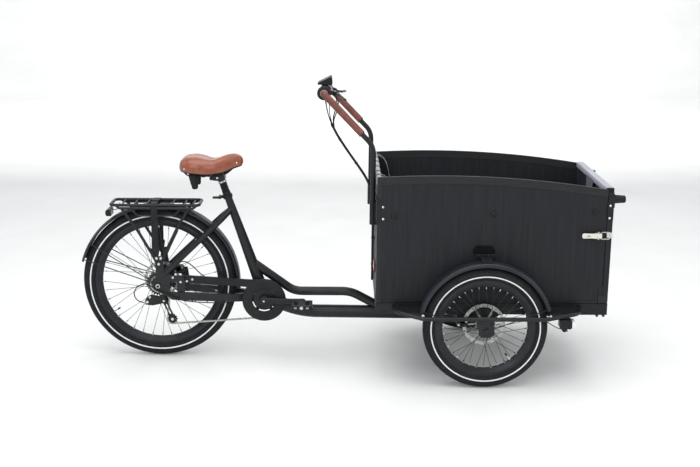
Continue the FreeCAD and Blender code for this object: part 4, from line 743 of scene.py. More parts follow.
def build_rack():
    """Rear rack with its rails, legs, bolts, luggage strap and clip."""
    rails = Shape()
    loop = [at(-198, -60, 695), at(-198, 60, 695), at(188, 60, 695), at(188, -60, 695)]
    points = []
    for i in range(4):
        a, b, c = loop[i - 1], loop[i], loop[(i + 1) % 4]
        points += rounded([b.lerp(a, 0.3), b, b.lerp(c, 0.3)], 32)[1:-1]
    points.append(points[0].copy())
    rails.sweep(points, 6.6, 14, flat_dir=Z_AXIS, cap=False)
    for x in (-150, -96, -42, 68, 122, 160):
        rails.sweep([at(x, -58, 695), at(x, 58, 695)], 3.6, 12)
    low = rounded([at(-172, -60, 693), at(-160, -68, 683), at(162, -68, 683), at(176, -60, 693)], 12)
    sides = Shape().sweep(low, 5.6, 12)
    for top, foot in ((-148, -14), (142, 30)):
        leg = [at(top, -69, 683), at(top + (foot - top) * 0.5, -71, 585), at(foot, -80, 470),
               at(foot + (8 - foot) * 0.6, -82, 440)]
        sides.sweep(rounded(leg, 60), 6.4, 14, squash=0.85, flat_dir=Vector((0, 1, 0)))
    for a, b in (((-112, 682), (-78, 650)), ((112, 682), (78, 650)), ((-78, 650), (78, 650))):
        sides.sweep([at(a[0], -66, a[1]), at(b[0], -66, b[1])], 4.2, 10)
    foot = Shape().plate_xz([(-12, 472), (28, 472), (24, 446), (17, 425), (0, 425), (-9, 446)], -84, -80)
    sides.join(foot)
    rails.join(sides).join(sides.flipped())
    make("rack_tubes", rails, "paint", "frame", ["rear_rack"], bevel=0.8)
    bolts = Shape()
    for x, z in ((8, 436), (-1, 462), (18, 462)):
        bolts.bolt(at(x, -84, z), OUTWARD, 4.0, 3, False)
    make("rack_bolts", bolts.both(), "steel", "frame")

    bands = Shape()
    for side in (-1, 1):
        path = [at(-8, side * 0.1, 704), at(-8, side * 52, 703.5), at(-8, side * 66, 698),
                at(-7, side * 72.5, 686), at(-6, side * 74, 600), at(-7, side * 77, 502)]
        bands.ribbon(curved(path, 8), (1, 0, 0), 14, 2.4)
    make("luggage_straps", bands, "webbing", "frame", ["rack_strap"], bevel=0.4)
    hooks = Shape()
    for side in (-1, 1):
        hooks.plate_xz([(-26, 506), (12, 506), (12, 492), (6, 462), (-2, 452), (-14, 452), (-24, 472)],
                       side * 80, side * 75.5)
    hooks.block((-26, 10), (-22, 22), (704, 711))
    hooks.block((-22, 6), (-34, -20), (703, 708))
    hooks.block((-22, 6), (20, 34), (703, 708))
    make("strap_clips", hooks, "plastic", "frame", bevel=1.8)


def build_lamps():
    """Rear lamp on the rack and the two front lamps, with their leads."""
    body = Shape().plate_xz([(-203, 638), (-203, 664), (-207, 668), (-220, 668), (-226, 661), (-227, 646),
                             (-222, 638)],
                            -32, 32)
    body.block((-207, -203), (-12, 12), (664, 691))
    make("rear_lamp_shell", body, "plastic_gloss", "frame", ["rear_lamp"], bevel=2.5, segments=3)
    lens = Shape().plate_xz([(-221, 643), (-228.5, 646), (-229.5, 658), (-221, 663)], -28, 28)
    make("rear_lamp_lens", lens, "lens", "frame", bevel=1.2)
    cable("rear_lamp_lead", [at(-206, 6, 666), at(-192, 8, 654), at(-178, 10, 668), at(-170, 14, 689)], 1.6,
          "frame")

    shell = Shape()
    shell.plate_xz([(1713, 268), (1713, 296), (1718, 301), (1758, 301), (1764, 297), (1764, 266), (1757, 262),
                    (1722, 262)], -428, -384)
    shell.block((1724, 1748), (-416, -396), (300, 316))
    make("front_lamp_shells", shell.both(), "plastic_gloss", "front", ["front_lamps"], bevel=2.2,
         segments=3)
    tail = Shape().lathe([(0.5, -17), (7, -17), (8.5, -15), (14.5, 0), (14.5, 3), (0.5, 3)],
                         at(1737, -406, 262), Z_AXIS, 24, closed=False)
    for x in (1728, 1746):
        tail.rod(at(x, -420, 252), at(x, -392, 252), 2.2, chamfer=0.4)
    make("front_lamp_knobs", tail.both(), "plastic", "front", bevel=0.8)
    lens = Shape().plate_xz([(1763, 266), (1763, 297), (1775, 296), (1780.5, 289), (1780.5, 274),
                             (1775, 267)], -427, -385)
    make("front_lamp_lenses", lens.both(), "lens", "front", bevel=1.4)
    for tag, side in (("right", -1), ("left", 1)):
        cable("front_lamp_lead_" + tag, [at(1640, side * 428, 300), at(1662, side * 420, 292),
                                         at(1690, side * 410, 270), at(1716, side * 408, 258),
                                         at(1734, side * 407, 256)], 1.8, "front")


# ---------------------------------------------------------------- drive
def pitch_radius(teeth):
    """Pitch radius of a sprocket for half-inch chain."""
    return 12.7 / (2 * math.sin(math.pi / teeth))


def sprocket_loop(teeth, root=3.9, tip=2.6):
    """Toothed outline of a sprocket."""
    pr = pitch_radius(teeth)
    step = 2 * math.pi / teeth
    out = []
    for i in range(teeth):
        for part, r in ((-0.34, pr - root + 0.4), (-0.24, pr - root + 1.8), (-0.12, pr + tip * 0.7),
                        (-0.05, pr + tip), (0.05, pr + tip), (0.12, pr + tip * 0.7), (0.24, pr - root + 1.8),
                        (0.34, pr - root + 0.4), (0.5, pr - root)):
            a = (i + part) * step
            out.append((r * math.cos(a), r * math.sin(a)))
    return out


CHAIN_CIRCLES = (((466.0, 266.0), pitch_radius(42), 1), ((0.0, 334.0), pitch_radius(18), 1),
                 ((22.0, 262.0), pitch_radius(11), -1), ((55.0, 172.0), pitch_radius(11), 1))


def chain_points():
    """Points one pitch apart along the chain's closed path, as (x, z)."""
    n = len(CHAIN_CIRCLES)
    leave = []
    arrive = [None] * n
    for i in range(n):
        (c, r, s) = CHAIN_CIRCLES[i]
        (d, q, t) = CHAIN_CIRCLES[(i + 1) % n]
        dx, dz = d[0] - c[0], d[1] - c[1]
        k = s * r - t * q
        heading = math.atan2(dz, dx) + math.atan2(k, math.sqrt(dx * dx + dz * dz - k * k))
        w = (math.sin(heading), -math.cos(heading))
        leave.append((c[0] + s * r * w[0], c[1] + s * r * w[1]))
        arrive[(i + 1) % n] = (d[0] + t * q * w[0], d[1] + t * q * w[1])
    dense = []
    for i in range(n):
        (c, r, s) = CHAIN_CIRCLES[i]
        a = math.atan2(arrive[i][1] - c[1], arrive[i][0] - c[0])
        b = math.atan2(leave[i][1] - c[1], leave[i][0] - c[0])
        while s * (b - a) < 0:
            b += s * 2 * math.pi
        dense += [(c[0] + r * math.cos(a + (b - a) * k / 60), c[1] + r * math.sin(a + (b - a) * k / 60))
                  for k in range(60)]
        p, q = leave[i], arrive[(i + 1) % n]
        dense += [(p[0] + (q[0] - p[0]) * k / 60, p[1] + (q[1] - p[1]) * k / 60) for k in range(60)]
    dense.append(dense[0])
    total = sum(math.dist(a, b) for a, b in zip(dense, dense[1:]))
    count = 2 * round(total / 12.7 / 2)
    step = total / count
    out = []
    walked = 0.0
    target = 0.0
    for a, b in zip(dense, dense[1:]):
        length = math.dist(a, b)
        while len(out) < count and target <= walked + length:
            f = (target - walked) / length if length else 0
            out.append((a[0] + (b[0] - a[0]) * f, a[1] + (b[1] - a[1]) * f))
            target += step
        walked += length
    return out


def build_chain():
    """Chain links along the path, each with its side plates and rollers."""
    points = chain_points()
    n = len(points)
    links = Shape()
    for i in range(n):
        (x0, z0), (x1, z1) = points[i], points[(i + 1) % n]
        length = math.hypot(x1 - x0, z1 - z0)
        ux, uz = (x1 - x0) / length, (z1 - z0) / length
        outline = []
        for cx, cz, base in ((x1, z1, -90), (x0, z0, 90)):
            for k in range(7):
                a = math.atan2(uz, ux) + math.radians(base + 30 * k)
                outline.append((cx + 3.9 * math.cos(a), cz + 3.9 * math.sin(a)))
        waist = 2.7
        mx, mz = (x0 + x1) / 2, (z0 + z1) / 2
        outline = outline[:7] + [(mx - uz * waist, mz + ux * waist)] + outline[7:] + [(mx + uz * waist,
                mz - ux * waist)]
        outer = i % 2 == 0
        for side in (-1, 1):
            near, far = (2.75, 3.55) if outer else (1.75, 2.55)
            links.plate_xz(outline, -44 + side * near, -44 + side * far)
        links.rod(at(x0, -44 - 4.0, z0), at(x0, -44 + 4.0, z0), 1.8, steps=8)
        links.rod(at(x0, -44 - 1.6, z0), at(x0, -44 + 1.6, z0), 3.7, steps=12)
    make("chain_links", links, "chain", "frame", ["chain"], angle=30)


def build_sprockets():
    """Rear sprocket set and the two pulleys of the derailleur."""
    cogs = Shape()
    centre = at(0, 0, REAR_AXLE_Z)
    first = -44 + 3 * 4.85
    for i, teeth in enumerate((28, 24, 21, 18, 16, 14, 12)):
        y = first - i * 4.85
        loops = [sprocket_loop(teeth), circle(17.5, 32)]
        if teeth > 16:
            reach = pitch_radius(teeth) - 12
            for k in range(7):
                a = 2 * math.pi * k / 7 + i * 0.1
                mid = (17.5 + reach) / 2 + 1.5
                size = max(2.2, (reach - 17.5) / 2 - 1.5)
                loops.append(circle(size, 14, (mid * math.cos(a), mid * math.sin(a))))
        cogs.cutout(loops, 1.8, centre + Y_AXIS * y * MM)
    make("sprocket_set", cogs, "cog", "cassette", ["cassette"], bevel=0.15, segments=1)
    core = Shape().lathe([(6.4, first + 1.5), (17.4, first + 1.5), (17.4, first - 32), (14, first - 32.1),
                          (14, first - 29), (6.4, first - 29)], centre, Y_AXIS, 40)
    make("sprocket_core", core, "alloy_black", "cassette", bevel=0.4)

    for name, node, x, z in (("pulley_upper", "jockey_wheel_upper", 22, 262),
                             ("pulley_lower", "jockey_wheel_lower", 55, 172)):
        c = at(x, -44, z)
        loops = [sprocket_loop(11, 3.4, 2.2), circle(2.6, 16)]
        for k in range(5):
            a = 2 * math.pi * k / 5
            loops.append(circle(2.6, 12, (11.5 * math.cos(a), 11.5 * math.sin(a))))
        pulley = Shape().cutout(loops, 2.0, c)
        pulley.lathe([(2.6, -3.5), (7.4, -3.5), (7.8, -1), (7.8, 1), (7.4, 3.5), (2.6, 3.5)], c, Y_AXIS, 24)
        make(name + "_teeth", pulley, "plastic", node.replace("jockey_wheel", "jockey"), [node],
             bevel=0.25, segments=1)


def cage_loop(a, b, ra, rb, waist):
    """Outline of a derailleur cage plate: two round ends joined by a waist."""
    ang = math.degrees(math.atan2(b[1] - a[1], b[0] - a[0]))
    out = arc(b, rb, ang - 80, ang + 80, 8) + [((a[0] + b[0]) / 2 - waist * math.sin(math.radians(ang)),
                                                (a[1] + b[1]) / 2 + waist * math.cos(math.radians(ang)))]
    out += arc(a, ra, ang + 100, ang + 260, 8) + [((a[0] + b[0]) / 2 + waist * math.sin(math.radians(ang)),
                                                   (a[1] + b[1]) / 2 - waist * math.cos(math.radians(ang)))]
    return out


def build_derailleur():
    """Derailleur: cage plates, body, bolts and cable."""
    cage = Shape()
    a, b = (22, 262), (55, 172)
    slot = cage_loop((30, 238), (46, 197), 4.5, 4.5, 4.2)
    for y in (-37.9, -50.1):
        cage.cutout([cage_loop(a, b, 13, 12, 8), slot], 1.8, at(0, y, 0))
    for x, z in (a, b):
        cage.rod(at(x, -51, z), at(x, -37, z), 2.45, steps=12)
    make("derailleur_cage", cage, "alloy_black", "frame", ["derailleur"], bevel=0.4)
    body = Shape()
    for y0, y1 in ((-66, -62), (-57, -53)):
        body.plate_xz([(-60, 244), (-62, 262), (-54, 276), (-34, 288), (14, 278), (26, 266), (24, 254),
                       (8, 248), (-28, 240)], y0, y1)
    body.rod(at(-52, -67, 256), at(-52, -52, 256), 9, steps=24, chamfer=1.5)
    body.rod(at(22, -67, 262), at(22, -51.5, 262), 14, steps=28, chamfer=2)
    body.rod(at(-40, -66, 278), at(-40, -53, 278), 7, steps=20, chamfer=1)
    body.plate_xz([(2, 258), (4, 306), (12, 312), (22, 306), (34, 262), (24, 252)], -68, -62)
    body.rod(at(13, -71, 300), at(13, -60, 300), 9.5, steps=24, chamfer=1.4)
    make("derailleur_body", body, "alloy_black", "frame", bevel=1.2)
    bolts = Shape()
    for x, y, z, r in ((13, -71, 300, 4.5), (22, -67, 262, 5.0), (-52, -67, 256, 4.2), (-40, -66, 278, 3.2),
                       (22, -51, 262, 3.0), (55, -51, 172, 4.4)):
        bolts.bolt(at(x, y, z), OUTWARD, r, 2.2, False)
    bolts.rod(at(-66, -60, 250), at(-56, -60, 252), 4.2, steps=14, chamfer=1)
    make("derailleur_bolts", bolts, "steel", "frame")
    cable("derailleur_cable", [at(-58, -60, 251), at(-82, -60, 252), at(-106, -61, 272), at(-110, -64, 300),
                               at(-96, -67, 326), at(-66, -70, 342), at(-40, -73, 340), at(-16, -78, 322)],
          2.4, "frame")


def build_crank():
    """Chainring, spider, arms and pedal pins."""
    centre = at(BB[0], -44, BB[1])
    ring = Shape().cutout([sprocket_loop(42), circle(66, 64)], 2.0, centre)
    make("chainring_teeth", ring, "alloy_black", "crank", bevel=0.25, segments=1)
    spider = Shape()
    loops = [circle(69, 72), circle(12, 24)]
    for i in range(5):
        base = math.radians(72 * i + 54)
        window = []
        for a, r in [(k * 9 - 27, 49) for k in range(7)] + [(27 - k * 9, 62) for k in range(7)]:
            window.append((r * math.cos(base + math.radians(a)), r * math.sin(base + math.radians(a))))
        loops.append(window)
    spider.cutout(loops, 4, centre - Y_AXIS * 3 * MM)
    spider.rod(at(BB[0], -66, BB[1]), at(BB[0], -40, BB[1]), 20, 24, steps=40, chamfer=1.5)
    spider.rod(at(BB[0], -64, BB[1]), at(BB[0], 64, BB[1]), 8.9, steps=24)
    make("crank_spider", spider, "alloy_black", "crank", ["crankset"], bevel=0.6)
    for tag, side, forward in (("right", -1, 1), ("left", 1, -1)):
        x1 = BB[0] + forward * CRANK
        sections = []
        arm = Shape()
        stations = ((-20, 9, 6), (-17, 14, 7), (-8, 17, 7.5), (4, 18, 7.5), (20, 15.5, 7), (60, 13.5, 6.2),
                    (110, 12.4, 6), (150, 12, 6), (168, 13, 6.3), (178, 12.2, 6), (184, 8, 5))
        for d, h, t in stations:
            offset = 72.5 + 2.0 * min(1, max(0, d / 60))
            for k in range(16):
                a = 2 * math.pi * k / 16
                ca, sa = math.cos(a), math.sin(a)
                py = math.copysign(abs(sa) ** 0.55, sa) * t
                pz = math.copysign(abs(ca) ** 0.7, ca) * h
                sections.append(at(BB[0] + forward * d, side * offset + py, BB[1] + pz))
        faces = [[k for k in range(16)], [(len(stations) - 1) * 16 + k for k in range(16)]]
        for i in range(len(stations) - 1):
            for k in range(16):
                m = (k + 1) % 16
                faces.append((i * 16 + k, i * 16 + m, (i + 1) * 16 + m, (i + 1) * 16 + k))
        arm.add(sections, faces)
        arm.rod(at(BB[0], side * 62, BB[1]), at(BB[0], side * 78, BB[1]), 17.5, 16, steps=36, chamfer=1.5)
        arm.rod(at(BB[0], side * 77, BB[1]), at(BB[0], side * 79.8, BB[1]), 9.6, steps=32, chamfer=0.6)
        make("crank_arm_" + tag, arm, "alloy_black", "crank", angle=50)
        caps = Shape()
        caps.lathe([(0.5, 1.2), (3, 1.2), (4.4, 0.4), (4.4, -3), (0.5, -3)], at(BB[0], side * 79.6, BB[1]),
                   (0, side, 0), 32, closed=False)
        caps.rod(at(x1, side * 79, BB[1]), at(x1, side * 83.5, BB[1]), 8.4, steps=6, chamfer=0.6)
        make("crank_caps_" + tag, caps, "steel", "crank")
        pin = Shape().rod(at(x1, side * 82, BB[1]), at(x1, side * 171.5, BB[1]), 4.9, steps=16, chamfer=0.5)
        make("pedal_pin_" + tag, pin, "steel", "crank")


def build_pedals():
    """Platform pedals with studs, reflectors and end caps."""
    for tag, side, forward in (("right", -1, 1), ("left", 1, -1)):
        x = BB[0] + forward * CRANK
        body = "pedal_" + tag
        near, far = side * 86, side * 175
        cage = Shape()
        outline = []
        for sx, sy in ((-1, -1), (1, -1), (1, 1), (-1, 1)):
            cx, cy = x + sx * 36, (near + far) / 2 + sy * 33
            base = {(-1, -1): 180, (1, -1): 270, (1, 1): 0, (-1, 1): 90}[(sx, sy)]
            outline += arc((cx, cy), 10.5, base, base + 90, 5)
        holes = []
        for wx in (-25, 25):
            holes.append([(x + wx - 10, (near + far) / 2 - 28), (x + wx + 10, (near + far) / 2 - 28),
                          (x + wx + 10, (near + far) / 2 + 28), (x + wx - 10, (near + far) / 2 + 28)])
        cage.cutout([outline] + holes, 18, at(0, 0, BB[1]), normal=(0, 0, 1))
        cage.lathe([(5.2, 0), (9.5, 0), (10.5, 3), (10.5, 84), (9.5, 88), (5.2, 88)], at(x, side * 85, BB[1]),
                   (0, side, 0), 24)
        for sx in (-44.5, 44.5):
            for k in range(9):
                y = near + (far - near) * (0.12 + 0.095 * k)
                cage.rod(at(x + sx * 0.98, y, BB[1] + 9), at(x + sx * 0.98, y, BB[1] + 11), 1.8, steps=8,
                         chamfer=0.4)
                cage.rod(at(x + sx * 0.98, y, BB[1] - 9), at(x + sx * 0.98, y, BB[1] - 11), 1.8, steps=8,
                         chamfer=0.4)
        make("pedal_cage_" + tag, cage, "plastic", body, ["pedal_" + tag], bevel=0.9)
        lamps = Shape()
        for sx in (-1, 1):
            lamps.block(tuple(sorted((x + sx * 44.5, x + sx * 46.9))),
                        tuple(sorted(((near + far) / 2 - 24, (near + far) / 2 + 24))),
                        (BB[1] - 6, BB[1] + 6))
            lamps.block(tuple(sorted((x + sx * 20, x + sx * 32))),
                        tuple(sorted((far - side * 1.5, far + side * 0.6))), (BB[1] - 3.5, BB[1] + 3.5))
        make("pedal_reflectors_" + tag, lamps, "pale_rail", body, bevel=0.7)
        cap = Shape().lathe([(0.4, 1.4), (5, 1.4), (7.5, 0.6), (8, -1), (0.4, -1)],
                            at(x, far - side * 1.4, BB[1]), (0, side, 0), 28, closed=False)
        make("pedal_cap_" + tag, cap, "steel", body)


def build_guard():
    """Chain guard: round cover with a window, and the arm along the chain."""
    centre = at(BB[0], -59.5, BB[1])
    cover = Shape()
    cover.lathe([(52, 1.4), (53.5, -1.2), (56, -1.5), (90, -1.5), (95, -0.6), (97, 1.4), (97, 6.5),
                 (95, 6.5), (95, 2.2),
                 (90, 1.5), (54.5, 1.5), (54.5, 4.5), (52.5, 4.5)], centre, Y_AXIS, 96)
    make("guard_cover", cover, "plastic", "frame", ["chain_guard"], bevel=0.5, angle=40)
    arm = Shape()
    outline = [(104, 346), (104, 376), (108, 379.5), (383, 361.5), (440, 358), (474, 357), (452, 330),
               (384, 327)]
    arm.cutout([outline], 3, at(0, -59.4, 0))
    arm.cutout([[(108, 379.5), (383, 361.5), (440, 358), (440, 355.5), (383, 359), (108, 377)]], 8,
               at(0, -55, 0))
    arm.rod(at(114, -67, 361), at(114, -58, 361), 6.5, steps=20, chamfer=1)
    make("guard_arm", arm, "plastic", "frame", bevel=0.8)
    bolts = Shape()
    bolts.bolt(at(150, -61, 360), OUTWARD, 3.5, 1.8, False)
    bolts.bolt(at(126, -61, 352), OUTWARD, 3.5, 1.8, False)
    make("guard_bolts", bolts, "steel", "frame")


def caliper(name, x, y, z, hides, body, look="alloy_black", both=True):
    """Hydraulic caliper: two rounded halves around the disc, bolts and a banjo."""
    shape = Shape()
    for y0, y1 in ((y - 14, y - 3), (y + 3, y + 14)):
        shape.plate_xz([(x - 24, z - 10), (x - 24, z + 8), (x - 16, z + 17), (x + 14, z + 17),
                        (x + 23, z + 9), (x + 24, z - 8), (x + 14, z - 17), (x - 14, z - 17)], y0, y1)
        shape.rod(at(x, y0 if y0 < y - 5 else y1, z), at(x, y, z), 12, steps=28, chamfer=1.0)
    shape.block((x - 22, x - 8), (y - 13, y + 13), (z + 8, z + 17.5))
    make(name, shape.both() if both else shape, look, body, hides, bevel=1.8, segments=3)
    bolts = Shape()
    for dx, dz in ((-16, -8), (16, 8)):
        for s in (-1, 1):
            bolts.bolt(at(x + dx, y + s * 14, z + dz), (0, s, 0), 3.4, 2.4, False)
    make(name + "_bolts", bolts.both() if both else bolts, "steel", body)


def build_brakes():
    """Disc calipers and their hoses."""
    caliper("rear_caliper_body", 77, 46, 380, ["rear_caliper"], "frame", both=False)
    caliper("front_caliper_bodies", 1318, -340, 262, ["front_calipers"], "front")
    arm = Shape().plate_xz([(1330, 250), (1330, 268), (1344, 276), (1382, 270), (1382, 250)], -333.5, -328.5)
    make("caliper_arms", arm.both(), "alloy_black", "front", bevel=0.8)
    for tag, side in (("right", -1), ("left", 1)):
        cable("front_hose_" + tag, [at(1300, side * 338, 276), at(1286, side * 334, 284),
                                    at(1262, side * 322, 286),
                                    at(1236, side * 300, 276), at(1200, side * 240, 268),
                                    at(1120, side * 160, 272), at(1010, side * 90, 276)], 2.5, "front")
    cable("rear_hose", [at(62, 46, 396), at(84, 52, 414), at(122, 62, 404), at(190, 60, 330),
                        at(290, 52, 305), at(382, 36, 300), at(440, 30, 292)], 2.5, "frame")


# ---------------------------------------------------------------- saddle and post
SADDLE = (  # x, half width, top, lower edge
    (101.5, 20, 868, 853), (105, 40, 881, 849), (113, 60, 892, 847), (127, 81, 902, 845), (148, 95, 907, 843),
    (178, 99.5, 908, 840), (207, 95, 902, 837), (232, 82, 894, 834), (254, 64, 890.5, 834),
          (280, 48, 899, 835),
    (305, 38, 910, 842), (330, 32, 915, 854), (350, 28, 914.5, 861), (366, 22, 908, 866), (375, 14, 898, 870),
    (378.6, 5, 889, 874))


def saddle_section(w, top, edge, inset=0.0):
    """Right half of the saddle cover at one station, from the ridge down to the edge."""
    h = top - edge
    dip = 3.0 * min(1, w / 90)
    half = [(0, top - dip - inset), (0.30 * w, top - 0.2 * dip - inset), (0.55 * w, top - 0.02 * h - inset),
            (0.76 * w, top - 0.11 * h - inset), (0.92 * w - inset, top - 0.28 * h),
            (0.995 * w - inset, top - 0.52 * h),
            (w - inset, top - 0.74 * h), (0.975 * w - inset, edge + 0.06 * h), (0.94 * w - inset, edge)]
    return half


def build_saddle():
    """Padded saddle cover with its edge, stitches, base, springs and rivets."""
    rings = []
    for x, w, top, edge in SADDLE:
        half = saddle_section(w, top, edge)
        under = [(0.6 * w, edge + 3), (0, edge + 4)]
        loop = half + under
        ring = [at(x, -y, z) for y, z in loop] + [at(x, y, z) for y, z in loop[-2:0:-1]]
        rings.append(ring)
    n = len(rings[0])
    verts = [p for ring in rings for p in ring]
    faces = [list(range(n))[::-1], [(len(rings) - 1) * n + k for k in range(n)]]
    for i in range(len(rings) - 1):
        for k in range(n):
            m = (k + 1) % n
            faces.append((i * n + k, i * n + m, (i + 1) * n + m, (i + 1) * n + k))
    cover = make("saddle_pad", Shape().add(verts, faces), "saddle", "saddle", ["saddle_cover"],
                 subdiv=3)

    seam_path = {-1: [], 1: []}
    for x, w, top, edge in SADDLE[1:-1]:
        for side in (-1, 1):
            seam_path[side].append(at(x, side * (w * 0.992 + 0.5), edge + 0.1 * (top - edge)))
    stitches = Shape()
    for side in (-1, 1):
        path = curved(seam_path[side], 10)
        for a, b in zip(path[::2], path[1::2]):
            stitches.rod(a, a.lerp(b, 0.8), 0.55, steps=6)
    make("saddle_stitches", stitches, "thread", "saddle")

    base = Shape()
    rings = []
    for x, w, top, edge in SADDLE[1:-1]:
        rings.append([at(x, -0.96 * w, edge + 5), at(x, -0.93 * w, edge - 3), at(x, -0.8 * w, edge - 6),
                      at(x, 0, edge - 5),
                      at(x, 0.8 * w, edge - 6), at(x, 0.93 * w, edge - 3), at(x, 0.96 * w, edge + 5)])
    n = 7
    verts = [p for ring in rings for p in ring]
    faces = [list(range(n))[::-1], [(len(rings) - 1) * n + k for k in range(n)]]
    for i in range(len(rings) - 1):
        for k in range(n):
            m = (k + 1) % n
            faces.append((i * n + k, i * n + m, (i + 1) * n + m, (i + 1) * n + k))
    base.add(verts, faces)
    make("saddle_shell", base, "plastic", "saddle", ["saddle_base"], subdiv=2)

    rails = Shape()
    for side in (-1, 1):
        rails.sweep(curved([at(124, side * 34, 838), at(136, side * 28, 824), at(160, side * 23, 818),
                            at(190, side * 22, 818), at(264, side * 22, 819), at(302, side * 18, 828),
                            at(332, side * 10, 850)], 6), 3.4, 12)
    make("saddle_rails", rails, "alloy_black", "saddle")
    springs = Shape()
    profile = [(6, 4), (19, 3), (21.5, -3), (21, -12), (18.6, -15), (19.8, -19), (19, -27), (16.6, -31),
               (17.6, -36), (16.4, -44), (14.0, -48), (14.8, -53), (12.6, -62), (9.5, -66.5), (4, -68)]
    for side in (-1, 1):
        springs.lathe(profile, at(165, side * 50, 832), (-0.12, 0, 1), 32)
    springs.lathe([(4, 3), (12, 2), (12.5, -6), (11, -8), (11.5, -14), (9.5, -22), (4, -24)], at(203, 0, 831),
                  (-0.1, 0, 1), 28)
    make("saddle_spring_boots", springs, "rubber", "saddle", subdiv=1)
    rivets = Shape()
    for side in (-1, 1):
        rivets.lathe([(0.3, 1.9), (2.2, 1.6), (3.9, 0.5), (4.3, -1.5), (0.3, -1.5)],
                     at(131, side * 83.8, 860), (-0.35, side, 0.05), 24, closed=False)
        rivets.lathe([(0.3, 1.9), (2.2, 1.6), (3.6, 0.5), (3.9, -1.5), (0.3, -1.5)],
                     at(352, side * 27.0, 878), (0.2, side, 0.1), 24, closed=False)
    make("saddle_rivets", rivets, "steel", "saddle")


def build_post():
    """Sprung head of the seat post, its bellows, clamp and clamp lever."""
    u = Vector((304.73 - 466, 0, 734 - 266)).normalized()
    top = at(304.73, 0, 734)
    for node in ("seat_post", "post_head"):
        dress(node, "alloy_black")
    profile = []
    for i in range(5):
        h = 14 + i * 9
        profile += [(13.6, h - 1.6), (14.6, h + 0.5), (17.4, h + 3.2), (17.8, h + 4.5), (17.4, h + 5.8),
                    (14.6, h + 8)]
    profile = [(8.8, 14.6)] + [(r, max(14.2, h)) for r, h in profile] + [(13.6, 57.8), (8.8, 58)]
    make("post_gaiter", Shape().lathe(profile, top, u, 40), "rubber", "seat_post", ["post_bellows"],
         angle=60)
    collar = Shape()
    collar.lathe([(16.4, -1), (18.4, -0.5), (18.4, 6), (16.4, 6.5)], top + u * 57 * MM, u, 40)
    make("post_bright_ring", collar, "alloy", "saddle")
    head = Shape()
    head.plate_xz([(236, 810), (240, 820), (258, 826), (288, 826), (298, 816), (292, 806), (270, 796),
                   (246, 798)], -21, 21)
    head.rod(at(266, -26, 811), at(266, 26, 811), 6, steps=20, chamfer=1)
    make("seat_head_clamp", head, "alloy_black", "saddle", bevel=2.2, segments=3)
    nuts = Shape()
    for side in (-1, 1):
        nuts.rod(at(266, side * 25.5, 811), at(266, side * 30, 811), 5.5, steps=6, chamfer=0.8)
    make("seat_head_nuts", nuts, "steel", "saddle")
    dress("seat_clamp", "alloy_black")
    ring = Shape().lathe([(18.5, -14), (21.6, -13), (22, -8), (21.6, -3), (18.5, -2)], top, u, 40)
    make("seat_clamp_band", ring, "alloy_black", "frame", bevel=0.5)
    lever = Shape()
    arm = [at(275.7, -22.5, 723), at(264, -22.0, 723), at(253, -22.5, 723), at(244, -24, 723)]
    lever.sweep(curved(arm, 6), 5.6, 14, squash=0.45, flat_dir=Y_AXIS)
    lever.rod(at(275.73, -20, 716.8), at(275.73, -20, 729.2), 5.6, steps=24, chamfer=0.8)
    make("seat_clamp_handle", lever, "alloy_black", "seat_clamp_lever", ["seat_clamp_lever"])


# ---------------------------------------------------------------- box
def top_of_side(x):
    """Height of the side panel at x: a parabola through its two ends and its crown."""
    pts = ((955.0, 872.0), (1300.0, 880.0), (1906.0, 826.0))
    total = 0.0
    for i in range(3):
        p, q, r = pts[i], pts[(i + 1) % 3], pts[(i + 2) % 3]
        total += p[1] * (x - q[0]) * (x - r[0]) / ((p[0] - q[0]) * (p[0] - r[0]))
    return total


def arch(drop, x0=955.0, x1=1906.0, steps=28):
    """Points along the arched top of a side panel, lowered by drop."""
    return [(x0 + (x1 - x0) * i / steps,
             top_of_side(x0 + (x1 - x0) * i / steps) - drop) for i in range(steps + 1)]


